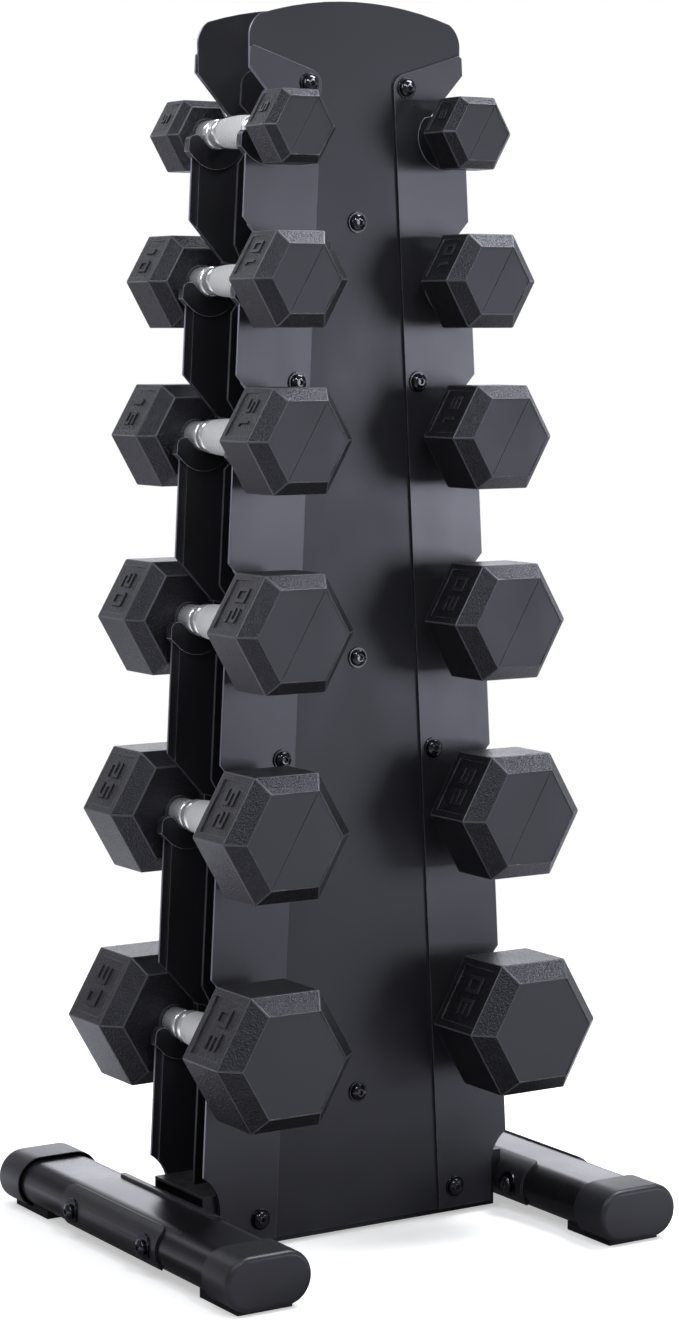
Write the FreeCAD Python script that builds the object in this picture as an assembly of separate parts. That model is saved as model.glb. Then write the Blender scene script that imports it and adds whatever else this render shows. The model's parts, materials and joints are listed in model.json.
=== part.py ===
import FreeCAD, Part
import math
import os

# Two-sided dumbbell tower with six pairs of hexagonal dumbbells, 5 lb to 30 lb.
# Millimetres. X runs across the faces, Y along the dumbbells, Z up. Z = 0 is the floor.

os.makedirs("parts", exist_ok=True)
V = FreeCAD.Vector
X_AXIS = V(1, 0, 0)
Y_AXIS = V(0, 1, 0)
LEFT = -1
RIGHT = 1
FRONT = -1
REAR = 1
SIDES = {"left": LEFT, "right": RIGHT}
FACES = {"front": FRONT, "rear": REAR}

# ---------------------------------------------------------------- main sizes
GRIP_GAP = 122.3          # clear distance between the two heads of any dumbbell
SHEET = 2.5               # steel sheet of the panels, uprights and base
PANEL_IN = 44.0           # |Y| of the panel's inner face
PANEL_OUT = PANEL_IN + SHEET
UPRIGHT_OUT = PANEL_OUT + SHEET
FACE_BOTTOM = 8.6

# The uprights lean outwards towards the floor.
EDGE_AT_FLOOR = 164.0
EDGE_SLOPE = 0.0515
INNER_AT_FLOOR = 87.4
INNER_SLOPE = 0.0487
PANEL_RECESS = 6.5        # the panel's edge stays behind the upright's edge


def edge_x(z):
    """Outer edge of an upright at height z."""
    return EDGE_AT_FLOOR - EDGE_SLOPE * z


def inner_x(z):
    """Inner edge of an upright at height z."""
    return INNER_AT_FLOOR - INNER_SLOPE * z


# ---------------------------------------------------------------- rows of dumbbells
# One entry a row, lowest first: pounds, rise from the row below, depth of the handle axis behind the
# upright's edge, head across flats, head length, chamfer length, chamfer inset, grip radius, top of the
# notch in the spine above the axis, plain border round the label.
LOWEST_ROW = 188.5
ROWS = [
    dict(lb=30, rise=0.0, seat=25.2, flats=117.3, length=92.0, bevel=16.4, inset=14.3, grip=16.6,
         spine_top=47.0, border=7.0),
    dict(lb=25, rise=189.9, seat=22.9, flats=109.7, length=81.0, bevel=14.5, inset=13.5, grip=16.6,
         spine_top=40.0, border=6.4),
    dict(lb=20, rise=174.4, seat=24.2, flats=102.4, length=78.3, bevel=14.4, inset=11.8, grip=16.6,
         spine_top=37.0, border=6.0),
    dict(lb=15, rise=164.4, seat=22.7, flats=91.5, length=74.9, bevel=14.0, inset=11.2, grip=16.6,
         spine_top=37.0, border=5.5),
    dict(lb=10, rise=137.9, seat=22.0, flats=82.7, length=63.1, bevel=11.1, inset=11.5, grip=14.6,
         spine_top=36.0, border=5.0),
    dict(lb=5, rise=130.5, seat=22.0, flats=63.2, length=48.5, bevel=8.9, inset=6.6, grip=14.6,
         spine_top=26.0, border=3.8),
]
axis_height = LOWEST_ROW
for row in ROWS:
    axis_height += row["rise"]
    row["z"] = axis_height
    row["x"] = edge_x(axis_height) - row["seat"]
ROW_HEIGHT = {row["lb"]: row["z"] for row in ROWS}
TOP_ROW = ROWS[-1]["z"]

# ---------------------------------------------------------------- small helpers


def export(name, solids):
    """Write one node: one solid, or a group of separate solids."""
    shape = solids[0] if len(solids) == 1 else Part.makeCompound(solids)
    shape.exportStep("parts/" + name + ".step")
    print(name, len(solids), "solid(s)", round(shape.Volume / 1000.0, 1), "cm3")


def prism(outline, y_from, y_to):
    """Extrude a closed XZ outline (points or edges) from y_from to y_to."""
    if isinstance(outline[0], tuple):
        points = [V(x, y_from, z) for x, z in outline]
        wire = Part.makePolygon(points + [points[0]])
    else:
        wire = Part.Wire(outline)
        wire.translate(V(0, y_from - wire.Vertexes[0].Y, 0))
    return Part.Face(wire).extrude(V(0, y_to - y_from, 0))


def line(start, end):
    return Part.LineSegment(V(start[0], 0, start[1]), V(end[0], 0, end[1])).toShape()


def arc(start, middle, end):
    points = [V(p[0], 0, p[1]) for p in (start, middle, end)]
    return Part.Arc(*points).toShape()


def rod_y(radius, x, z, y_from, y_to):
    """Round bar along Y between two Y values, in either order."""
    low = min(y_from, y_to)
    return Part.makeCylinder(radius, abs(y_to - y_from), V(x, low, z), Y_AXIS)


def rod_x(radius, y, z, x_from, x_to):
    """Round bar along X between two X values, in either order."""
    low = min(x_from, x_to)
    return Part.makeCylinder(radius, abs(x_to - x_from), V(low, y, z), X_AXIS)


def mirrored(shape, side):
    """The right-hand shape itself, or its mirror image for the left."""
    return shape if side == RIGHT else shape.mirror(V(0, 0, 0), X_AXIS)


def slab_y(face, inner, outer):
    """Y limits of a layer of the front or rear face, low first."""
    return sorted((face * inner, face * outer))


# ---------------------------------------------------------------- sizes of the feet
FOOT_X = 190.3
FOOT_Z = 26.9
TUBE_HALF_WIDTH = 38.0
TUBE_HALF_HEIGHT = 20.2
TUBE_WALL = 2.0
TUBE_END = 209.0
CLAMP = 2.2               # sheet of the plates rolled round a foot
CLAMP_RADIUS = TUBE_HALF_HEIGHT + CLAMP
ROUND_IN = FOOT_X - (TUBE_HALF_WIDTH - TUBE_HALF_HEIGHT)
ROUND_OUT = FOOT_X + (TUBE_HALF_WIDTH - TUBE_HALF_HEIGHT)

# ---------------------------------------------------------------- openings for the handles
CUP_RADIUS = 15.5
CUP_RISE = 2.0            # the cup's centre lies above the resting handle axis
HUB_RADIUS = 20.8         # round seat in the steel for the plastic cradle
THROAT_SLOPE = 1.112      # rise over run of the slanted throat
THROAT_START = (-14.3, 17.1)
THROAT_FLOOR = -14.0
FAR_OUT = 60.0


def notch(row, gap=0.0):
    """Cutter for one handle opening: a round seat and a slanted throat."""
    sx, sz = THROAT_START
    far_z = sz + (FAR_OUT - sx) * THROAT_SLOPE
    throat = [(sx, sz - gap), (FAR_OUT, far_z - gap), (FAR_OUT, THROAT_FLOOR + gap),
              (0.0, THROAT_FLOOR + gap), (0.0, CUP_RISE)]
    outline = [(row["x"] + o, row["z"] + u) for o, u in throat]
    cutter = prism(outline, -FAR_OUT, FAR_OUT)
    seat = rod_y(HUB_RADIUS - gap, row["x"], row["z"] + CUP_RISE, -FAR_OUT, FAR_OUT)
    return cutter.fuse(seat).removeSplitter()


NOTCHES = [notch(row) for row in ROWS]

# Round corner that clears the foot and its clamp plate, and the straight step below it.
FOOT_NOTCH_GAP = 6.3
FOOT_NOTCH_RISE = 15.7
FOOT_NOTCH_RADIUS = 34.8
FACE_HALF_FOOT = ROUND_IN - CLAMP_RADIUS - FOOT_NOTCH_GAP
FOOT_NOTCH_X = FACE_HALF_FOOT + FOOT_NOTCH_RADIUS
FOOT_NOTCH_Z = FOOT_Z + FOOT_NOTCH_RISE


def foot_notch():
    corner = rod_y(FOOT_NOTCH_RADIUS, FOOT_NOTCH_X, FOOT_NOTCH_Z, -FAR_OUT, FAR_OUT)
    step = Part.makeBox(FAR_OUT, 2 * FAR_OUT, FOOT_NOTCH_Z, V(FACE_HALF_FOOT, -FAR_OUT, 0))
    return corner.fuse(step)


FOOT_NOTCH = foot_notch()

# ---------------------------------------------------------------- bolt pattern
BOLT_RADIUS = 4.0
BOLT_HOLE = 4.3
HEAD_RADIUS = 7.3
HEAD_HEIGHT = 4.4
HEAD_RIM = 1.7            # straight part of a button head
HEAD_TOP_RADIUS = 4.4
WASHER_RADIUS = 9.3
WASHER = 1.6
NUT_FLATS = 13.0
NUT_HEIGHT = 6.5
SHANK = 19.0
TOP_ROUND = 13.0          # round end of an upright about its top bolt, and the bolts' edge distance
BASE_BOLT_HEIGHT = 27.9
BASE_BOLT_IN = 17.2
UPRIGHT_BOLT_RISE = {5: 40.6, 15: 48.6, 25: 56.3}     # above the handle axis of that row
CENTRE_BOLT_DROP = {5: 79.0, 20: 32.3, 30: 60.2}      # below the handle axis of that row
bolt_heights = [ROW_HEIGHT[lb] + rise for lb, rise in UPRIGHT_BOLT_RISE.items()]
UPRIGHT_BOLTS = [(inner_x(z) + TOP_ROUND, z) for z in bolt_heights]
UPRIGHT_BOLTS.append((inner_x(BASE_BOLT_HEIGHT) + BASE_BOLT_IN, BASE_BOLT_HEIGHT))
CENTRE_BOLTS = [ROW_HEIGHT[lb] - drop for lb, drop in CENTRE_BOLT_DROP.items()]

# ---------------------------------------------------------------- steel faces
CROWN_ABOVE = 114.4       # top of the arch above the highest handle axis
TOWER_TOP = TOP_ROW + CROWN_ABOVE
CROWN_HALF = 109.0
CROWN_SIDE_FOOT = 65.0    # these four are drops below the top of the arch
CROWN_SIDE_TOP = 38.0
CROWN_CORNER = 23.5
CROWN_SHOULDER = 15.0
CROWN_CORNER_IN = 3.0     # and these two are in from the crown's straight side
CROWN_SHOULDER_IN = 11.0
WAIST_DROP = 10.6         # the crown starts this far below the highest handle axis


def panel(face):
    """Full-width sheet with the arched crown and twelve handle notches."""
    waist_z = TOP_ROW - WAIST_DROP
    foot = (edge_x(FACE_BOTTOM) - PANEL_RECESS, FACE_BOTTOM)
    waist = (edge_x(waist_z) - PANEL_RECESS, waist_z)
    corner = (CROWN_HALF - CROWN_CORNER_IN, TOWER_TOP - CROWN_CORNER)
    shoulder = (CROWN_HALF - CROWN_SHOULDER_IN, TOWER_TOP - CROWN_SHOULDER)
    corner_left = (-corner[0], corner[1])
    shoulder_left = (-shoulder[0], shoulder[1])
    right = [foot, waist, (CROWN_HALF, TOWER_TOP - CROWN_SIDE_FOOT), (CROWN_HALF, TOWER_TOP - CROWN_SIDE_TOP)]
    left = [(-x, z) for x, z in right]
    edges = [line(left[0], right[0])]
    edges += [line(a, b) for a, b in zip(right, right[1:])]
    edges.append(arc(right[-1], corner, shoulder))
    edges.append(arc(shoulder, (0.0, TOWER_TOP), shoulder_left))
    edges.append(arc(shoulder_left, corner_left, left[-1]))
    edges += [line(b, a) for a, b in reversed(list(zip(left, left[1:])))]
    y_low, y_high = slab_y(face, PANEL_IN, PANEL_OUT)
    sheet = prism(edges, y_low, y_high)
    cutters = []
    for side in (LEFT, RIGHT):
        cutters += [mirrored(cutter, side) for cutter in NOTCHES + [FOOT_NOTCH]]
        cutters += [rod_y(BOLT_HOLE, side * x, z, y_low, y_high) for x, z in UPRIGHT_BOLTS]
    cutters += [rod_y(BOLT_HOLE, 0.0, z, y_low, y_high) for z in CENTRE_BOLTS]
    return sheet.cut(cutters)


TOP_SLOPE = 0.31          # the upright's top edge rises outwards
WING_CHAMFER = 3.0


def upright(side, face):
    """Outer strip with the six handle notches of one side."""
    bolt_x, bolt_z = UPRIGHT_BOLTS[0]
    tilt = math.atan(TOP_SLOPE)
    crest = (bolt_x - TOP_ROUND * math.sin(tilt), bolt_z + TOP_ROUND * math.cos(tilt))
    flank = (bolt_x - TOP_ROUND, bolt_z)
    turn = math.radians(135) + tilt / 2
    between = (bolt_x + TOP_ROUND * math.cos(turn), bolt_z + TOP_ROUND * math.sin(turn))
    wing_z = crest[1] + (edge_x(crest[1]) - crest[0]) * TOP_SLOPE
    wing = (edge_x(wing_z), wing_z)
    wing_low = (edge_x(wing_z - WING_CHAMFER), wing_z - WING_CHAMFER)
    wing_in = (wing[0] - WING_CHAMFER, wing[1] - WING_CHAMFER * TOP_SLOPE)
    foot_in = (inner_x(FACE_BOTTOM), FACE_BOTTOM)
    foot_out = (edge_x(FACE_BOTTOM), FACE_BOTTOM)
    corners = [foot_in, foot_out, wing_low, wing_in, crest]
    edges = [line(a, b) for a, b in zip(corners, corners[1:])]
    edges.append(arc(crest, between, flank))
    edges.append(line(flank, foot_in))
    y_low, y_high = slab_y(face, PANEL_OUT, UPRIGHT_OUT)
    strip = prism(edges, y_low, y_high)
    holes = [rod_y(BOLT_HOLE, x, z, y_low, y_high) for x, z in UPRIGHT_BOLTS]
    return mirrored(strip.cut(NOTCHES + [FOOT_NOTCH] + holes), side)


# ---------------------------------------------------------------- spine between the faces
SPINE_HALF = 1.5
SPINE_AT_FLOOR = 146.3
SPINE_SLOPE = 0.0533
SPINE_DROP = 60.0         # the spine ends this far below the top of the arch
SPINE_TOP = TOWER_TOP - SPINE_DROP
SPINE_CORNER = 14.0
SPINE_GAP = 3.4           # clearance round the grips
SPINE_NOTCH_FOOT = -27.0
SPINE_NOTCH_ABOVE = 113.5     # where the notch's two straight sides leave its round, in degrees
SPINE_NOTCH_BELOW = -101.5
BASE_TOP = 54.0


def spine_x(z):
    return SPINE_AT_FLOOR - SPINE_SLOPE * z


def spine_notch(row):
    """Opening in the spine that clears a grip on its way up and out."""
    radius = row["grip"] + SPINE_GAP
    lip = spine_x(row["z"]) - row["x"]
    above, below = [(radius * math.cos(math.radians(a)), radius * math.sin(math.radians(a)))
                    for a in (SPINE_NOTCH_ABOVE, SPINE_NOTCH_BELOW)]
    outline = [(FAR_OUT, row["spine_top"]), (lip, row["spine_top"]), above,
               below, (lip, SPINE_NOTCH_FOOT), (FAR_OUT, SPINE_NOTCH_FOOT)]
    points = [(row["x"] + o, row["z"] + u) for o, u in outline]
    ring = rod_y(radius, row["x"], row["z"], -SPINE_HALF, SPINE_HALF)
    return prism(points, -SPINE_HALF, SPINE_HALF).fuse(ring)


def spine():
    """Centre plate that ties the spacers together and stands on the base."""
    top_x = spine_x(SPINE_TOP)
    diagonal = SPINE_CORNER * (1 - math.sqrt(0.5))
    shoulder = (top_x - SPINE_CORNER, SPINE_TOP)
    mid = (top_x - diagonal, SPINE_TOP - diagonal)
    side_top = (top_x, SPINE_TOP - SPINE_CORNER)
    foot = (spine_x(BASE_TOP), BASE_TOP)
    left = [(-x, z) for x, z in (foot, side_top, mid, shoulder)]
    edges = [line(left[0], foot), line(foot, side_top), arc(side_top, mid, shoulder),
             line(shoulder, left[3]), arc(left[3], left[2], left[1]), line(left[1], left[0])]
    plate = prism(edges, -SPINE_HALF, SPINE_HALF)
    cutters = []
    for side in (LEFT, RIGHT):
        cutters += [mirrored(spine_notch(row), side) for row in ROWS]
    return plate.cut(cutters)


SPACER_RADIUS = 10.0


def spacer(face, z):
    """Tapped bar between the spine and a panel."""
    bar = rod_y(SPACER_RADIUS, 0.0, z, face * SPINE_HALF, face * PANEL_IN)
    return bar.cut(rod_y(BOLT_RADIUS, 0.0, z, face * (PANEL_IN - SHANK), face * PANEL_IN))


# ---------------------------------------------------------------- bolts, washers, nuts


def button_dome(base, direction):
    """Tapered top of a button head."""
    return Part.makeCone(HEAD_RADIUS, HEAD_TOP_RADIUS, HEAD_HEIGHT - HEAD_RIM, base, direction)


def face_bolt(face, x, z, seat):
    """Button-head bolt whose washer lies on the plane |Y| = seat."""
    under_head = seat + WASHER
    shank = rod_y(BOLT_RADIUS, x, z, face * (under_head - SHANK), face * under_head)
    disc = rod_y(HEAD_RADIUS, x, z, face * under_head, face * (under_head + HEAD_RIM))
    dome = button_dome(V(x, face * (under_head + HEAD_RIM), z), V(0, face, 0))
    return shank.fuse([disc, dome]).removeSplitter()


def face_washer(face, x, z, seat):
    ring = rod_y(WASHER_RADIUS, x, z, face * seat, face * (seat + WASHER))
    return ring.cut(rod_y(BOLT_RADIUS, x, z, face * seat, face * (seat + WASHER)))


def face_nut(face, x, z, seat):
    """Hexagon nut that bears on the plane |Y| = seat from inside."""
    corner = NUT_FLATS / math.sqrt(3)
    ring = [(x + corner * math.cos(math.radians(a)), z + corner * math.sin(math.radians(a)))
            for a in range(0, 360, 60)]
    y_low, y_high = slab_y(face, seat - NUT_HEIGHT, seat)
    return prism(ring, y_low, y_high).cut(rod_y(BOLT_RADIUS, x, z, y_low, y_high))


# ---------------------------------------------------------------- feet
CAP_END = 214.5
CAP_RIM = 172.0
CAP_WALL = 3.4
CAP_EDGE = 5.0
CAP_LIP = 1.3             # thin lip round the cap's open mouth
CAP_MOUTH = 12.0
PAD_TOP = 9.0
PAD_HALF_WIDTH = 26.5
PAD_FROM = 142.0
PAD_TO = 206.0


def stadium(half_width, half_height, y_from, y_to):
    """Flat-oval bar along Y, centred on the foot."""
    flat = half_width - half_height
    top, low = FOOT_Z + half_height, FOOT_Z - half_height
    x_in, x_out = FOOT_X - flat, FOOT_X + flat
    edges = [line((x_in, low), (x_out, low)),
             arc((x_out, low), (x_out + half_height, FOOT_Z), (x_out, top)),
             line((x_out, top), (x_in, top)),
             arc((x_in, top), (x_in - half_height, FOOT_Z), (x_in, low))]
    return prism(edges, y_from, y_to)


CLAMP_LENGTH = 88.0
CLAMP_LOW = -48.0         # ends of the rolled plates, in degrees above the horizontal
OUTER_CLAMP_HIGH = 65.0
INNER_CLAMP_HIGH = 90.0
CLAMP_CORNER = 9.0
CLAMP_BOLT_Y = 67.5
CLAMP_WASHER_RADIUS = 11.5
SLEEVE_RADIUS = 5.5
SLEEVE_LENGTH = 30.0
THREAD = 13.0             # length of bolt inside a sleeve nut


def foot_tube(side):
    """Flat-oval tube with the four holes of its clamp bolts."""
    tube = stadium(TUBE_HALF_WIDTH, TUBE_HALF_HEIGHT, -TUBE_END, TUBE_END)
    bore = stadium(TUBE_HALF_WIDTH - TUBE_WALL, TUBE_HALF_HEIGHT - TUBE_WALL, -TUBE_END, TUBE_END)
    tube = tube.cut(bore)
    for y in (-CLAMP_BOLT_Y, CLAMP_BOLT_Y):
        tube = tube.cut(rod_x(BOLT_RADIUS, y, FOOT_Z, FOOT_X, FOOT_X + FAR_OUT))
        tube = tube.cut(rod_x(SLEEVE_RADIUS, y, FOOT_Z, FOOT_X - FAR_OUT, FOOT_X))
    return mirrored(tube, side)


def foot_cap(side, face):
    """Moulded sleeve with a closed, softened end and a wider mouth behind a thin lip."""
    y_low, y_high = slab_y(face, CAP_RIM, CAP_END)
    body = stadium(TUBE_HALF_WIDTH + CAP_WALL, TUBE_HALF_HEIGHT + CAP_WALL, y_low, y_high)
    end_y = face * CAP_END
    rim = [e for e in body.Edges if all(abs(v.Y - end_y) < 0.01 for v in e.Vertexes)]
    body = body.makeFillet(CAP_EDGE, rim)
    y_low, y_high = slab_y(face, CAP_RIM, TUBE_END)
    pocket = stadium(TUBE_HALF_WIDTH, TUBE_HALF_HEIGHT, y_low, y_high)
    y_low, y_high = slab_y(face, CAP_RIM, CAP_RIM + CAP_MOUTH)
    spare = CAP_WALL - CAP_LIP
    mouth = stadium(TUBE_HALF_WIDTH + spare, TUBE_HALF_HEIGHT + spare, y_low, y_high)
    return mirrored(body.cut([pocket, mouth]), side)


def foot_pad(side, face):
    """Soft pad that the tower stands on; its top fits round the foot tube and the cap."""
    y_low, y_high = slab_y(face, PAD_FROM, PAD_TO)
    block = Part.makeBox(2 * PAD_HALF_WIDTH, PAD_TO - PAD_FROM, PAD_TOP, V(FOOT_X - PAD_HALF_WIDTH, y_low, 0))
    tube = stadium(TUBE_HALF_WIDTH, TUBE_HALF_HEIGHT, y_low, y_high)
    y_low, y_high = slab_y(face, CAP_RIM, CAP_END)
    cap = stadium(TUBE_HALF_WIDTH + CAP_WALL, TUBE_HALF_HEIGHT + CAP_WALL, y_low, y_high)
    return mirrored(block.cut([tube, cap]), side)


def clamp_corners(high):
    """Cutters that round the two corners of a rolled plate at its edge, high degrees up."""
    turn = math.degrees(CLAMP_CORNER / CLAMP_RADIUS)
    edge = CLAMP_RADIUS * math.sin(math.radians(turn))
    cutters = []
    for end in (FRONT, REAR):
        y_low, y_high = slab_y(end, CLAMP_LENGTH - CLAMP_CORNER, CLAMP_LENGTH + CLAMP_CORNER)
        block = Part.makeBox(2 * CLAMP_RADIUS, y_high - y_low, 2 * CLAMP_CORNER, V(0, y_low, edge - CLAMP_CORNER))
        pin = rod_x(CLAMP_CORNER, end * (CLAMP_LENGTH - CLAMP_CORNER), edge - CLAMP_CORNER, 0, 2 * CLAMP_RADIUS)
        cutter = block.cut(pin)
        cutter.rotate(V(0, 0, 0), Y_AXIS, turn - high)
        cutters.append(cutter)
    return cutters


def clamp_plate(centre_x, direction, high):
    """Rolled plate that hugs one round flank of the foot tube, with rounded corners."""
    def at(radius, degrees):
        angle = math.radians(degrees)
        return (radius * math.cos(angle), radius * math.sin(angle))
    middle = (CLAMP_LOW + high) / 2
    inner = [at(TUBE_HALF_HEIGHT, a) for a in (CLAMP_LOW, middle, high)]
    outer = [at(CLAMP_RADIUS, a) for a in (high, middle, CLAMP_LOW)]
    edges = [arc(*inner), line(inner[2], outer[0]), arc(*outer), line(outer[2], inner[0])]
    plate = prism(edges, -CLAMP_LENGTH, CLAMP_LENGTH).cut(clamp_corners(high))
    plate = mirrored(plate, direction)
    plate.translate(V(centre_x, 0, FOOT_Z))
    return plate


def outer_clamp(side):
    plate = clamp_plate(ROUND_OUT, RIGHT, OUTER_CLAMP_HIGH)
    holes = [rod_x(BOLT_RADIUS, y, FOOT_Z, FOOT_X, FOOT_X + FAR_OUT) for y in (-CLAMP_BOLT_Y, CLAMP_BOLT_Y)]
    return mirrored(plate.cut(holes), side)


def inner_clamp(side):
    plate = clamp_plate(ROUND_IN, LEFT, INNER_CLAMP_HIGH)
    holes = [rod_x(SLEEVE_RADIUS, y, FOOT_Z, FOOT_X - FAR_OUT, FOOT_X) for y in (-CLAMP_BOLT_Y, CLAMP_BOLT_Y)]
    return mirrored(plate.cut(holes), side)


OUTER_SEAT = ROUND_OUT + CLAMP_RADIUS + WASHER
INNER_SEAT = ROUND_IN - CLAMP_RADIUS - WASHER


def clamp_bolt(side, y):
    """Long bolt from the outer plate into the sleeve nut."""
    shank = rod_x(BOLT_RADIUS, y, FOOT_Z, INNER_SEAT + SLEEVE_LENGTH - THREAD, OUTER_SEAT)
    disc = rod_x(HEAD_RADIUS, y, FOOT_Z, OUTER_SEAT, OUTER_SEAT + HEAD_RIM)
    dome = button_dome(V(OUTER_SEAT + HEAD_RIM, y, FOOT_Z), X_AXIS)
    return mirrored(shank.fuse([disc, dome]).removeSplitter(), side)


def sleeve_nut(side, y):
    """Round-headed barrel nut on the inner side of a foot."""
    end = INNER_SEAT + SLEEVE_LENGTH
    barrel = rod_x(SLEEVE_RADIUS, y, FOOT_Z, INNER_SEAT, end)
    disc = rod_x(HEAD_RADIUS, y, FOOT_Z, INNER_SEAT - HEAD_RIM, INNER_SEAT)
    dome = button_dome(V(INNER_SEAT - HEAD_RIM, y, FOOT_Z), V(-1, 0, 0))
    bore = rod_x(BOLT_RADIUS, y, FOOT_Z, end - THREAD, end)
    return mirrored(barrel.fuse([disc, dome]).removeSplitter().cut(bore), side)


def clamp_washer(side, y, centre_x, direction, hole):
    """Washer rolled to the round of the clamp plate."""
    y_low, y_high = y - CLAMP_WASHER_RADIUS, y + CLAMP_WASHER_RADIUS
    shell = rod_y(CLAMP_RADIUS + WASHER, centre_x, FOOT_Z, y_low, y_high)
    shell = shell.cut(rod_y(CLAMP_RADIUS, centre_x, FOOT_Z, y_low, y_high))
    far = centre_x + direction * FAR_OUT
    disc = rod_x(CLAMP_WASHER_RADIUS, y, FOOT_Z, centre_x, far).cut(rod_x(hole, y, FOOT_Z, centre_x, far))
    return mirrored(shell.common(disc), side)


# ---------------------------------------------------------------- base
BASE_REACH = 14.5         # the base ends this far short of the middle of the feet's inner rounds
BASE_HALF = ROUND_IN - BASE_REACH
BASE_LOW = 3.4


def base_channel():
    """Folded channel, open below, coped to sit against both inner clamp plates."""
    outer = Part.makeBox(2 * BASE_HALF, 2 * PANEL_IN, BASE_TOP - BASE_LOW, V(-BASE_HALF, -PANEL_IN, BASE_LOW))
    hollow = Part.makeBox(2 * BASE_HALF, 2 * (PANEL_IN - SHEET), BASE_TOP - SHEET,
                          V(-BASE_HALF, -PANEL_IN + SHEET, 0))
    cutters = [hollow]
    for side in (LEFT, RIGHT):
        cope = rod_y(CLAMP_RADIUS, ROUND_IN, FOOT_Z, -FAR_OUT, FAR_OUT)
        below = Part.makeBox(FAR_OUT, 2 * FAR_OUT, FOOT_Z, V(ROUND_IN - CLAMP_RADIUS, -FAR_OUT, 0))
        cutters += [mirrored(cope, side), mirrored(below, side)]
        x, z = UPRIGHT_BOLTS[-1]
        cutters.append(rod_y(BOLT_HOLE, side * x, z, -PANEL_IN, PANEL_IN))
    return outer.cut(cutters)


# ---------------------------------------------------------------- cradles
CRADLE_IN = 42.0
CRADLE_OUT = UPRIGHT_OUT + 1.5
CRADLE_GAP = 0.2
LIP_START = (13.3, -6.0)
LIP_LEAD = (18.3, -1.0)
LIP_TOP = (23.0, -1.0)
LIP_ROUND = (26.9, -3.3)
LIP_SIDE = (28.3, -8.0)
LIP_CORNER = (28.9, -15.5)
RIM_START = (23.5, -21.0)
RIM_LOW = (-3.0, -31.0)
RIM_SIDE = (-25.6, -14.4)
RIM_BACK = (-28.8, 2.0)
RIM_TOP = (-22.0, 15.3)
CUP_LEFT = (-CUP_RADIUS, CUP_RISE)
CUP_LOW = (0.0, CUP_RISE - CUP_RADIUS)


def cradle(row, side, face):
    """Moulded cradle: a cup with a lip, flanged on both sides of the steel."""
    def at(point):
        return (row["x"] + point[0], row["z"] + point[1])
    edges = [arc(at(CUP_LEFT), at(CUP_LOW), at(LIP_START)),
             line(at(LIP_START), at(LIP_LEAD)), line(at(LIP_LEAD), at(LIP_TOP)),
             arc(at(LIP_TOP), at(LIP_ROUND), at(LIP_SIDE)),
             line(at(LIP_SIDE), at(LIP_CORNER)), line(at(LIP_CORNER), at(RIM_START)),
             arc(at(RIM_START), at(RIM_LOW), at(RIM_SIDE)),
             arc(at(RIM_SIDE), at(RIM_BACK), at(RIM_TOP)),
             line(at(RIM_TOP), at(THROAT_START)), line(at(THROAT_START), at(CUP_LEFT))]
    inner = prism(edges, *slab_y(face, CRADLE_IN, PANEL_IN))
    outer = prism(edges, *slab_y(face, UPRIGHT_OUT, CRADLE_OUT))
    core = prism(edges, *slab_y(face, PANEL_IN, UPRIGHT_OUT))
    low, high = row["z"] - FAR_OUT, row["z"] + FAR_OUT
    beyond = prism([(edge_x(low) + CRADLE_GAP, low), (2 * FOOT_X, low), (2 * FOOT_X, high),
                    (edge_x(high) + CRADLE_GAP, high)], -FAR_OUT, FAR_OUT)
    web = core.common(notch(row, CRADLE_GAP).fuse(beyond))
    return mirrored(inner.fuse([web, outer]).removeSplitter(), side)


# ---------------------------------------------------------------- dumbbells
COAT = 4.0                # moulded cover over the iron
SHAFT_RADIUS = 12.5       # handle inside the heads
SHAFT_STOP = 12.0         # the shaft ends this far short of the outer face
COLLAR_RADIUS = 13.2
COLLAR_FROM = 38.5
COLLAR_TO = 58.5
GROOVE_RADIUS = 12.2
GROOVE_FROM = 34.0
RING_FROM = 23.0
RING_DROP = 1.4           # the ring is slimmer than the middle of the grip
GRIP_END = 21.5
GRIP_DROP = 1.2
THIN_GROOVE = 1.2         # depth of the fine groove between the grip and the ring
BOSS_RADIUS = 15.0
BOSS_HEIGHT = 2.0
LABEL_DEPTH = 1.1
LABEL_RUN_OUT = 1.5       # the recess fades out this far before the outer chamfer
FACET_TURN = 60.0         # from a head's vertical left flank to its upper left one


def hexagon(x, z, flats, y):
    radius = flats / math.sqrt(3)
    points = [V(x + radius * math.cos(math.radians(a)), y, z + radius * math.sin(math.radians(a)))
              for a in range(0, 360, 60)]
    return Part.makePolygon(points + [points[0]])


def hex_head(row, x, face, shrink):
    """Hexagonal block with chamfered ends, taken in by shrink on every side."""
    near, far = GRIP_GAP / 2 + shrink, GRIP_GAP / 2 + row["length"] - shrink
    flats = row["flats"] - 2 * shrink
    small = flats - 2 * row["inset"]
    stations = [(near, small), (near + row["bevel"], flats), (far - row["bevel"], flats), (far, small)]
    return Part.makeLoft([hexagon(x, row["z"], width, face * y) for y, width in stations], True, True)


def shaft(row, x, face, start):
    end = GRIP_GAP / 2 + row["length"] - SHAFT_STOP
    return rod_y(SHAFT_RADIUS, x, row["z"], face * start, face * end)


def iron_core(row, x, face):
    return hex_head(row, x, face, COAT).cut(shaft(row, x, face, 0.0))


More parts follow.
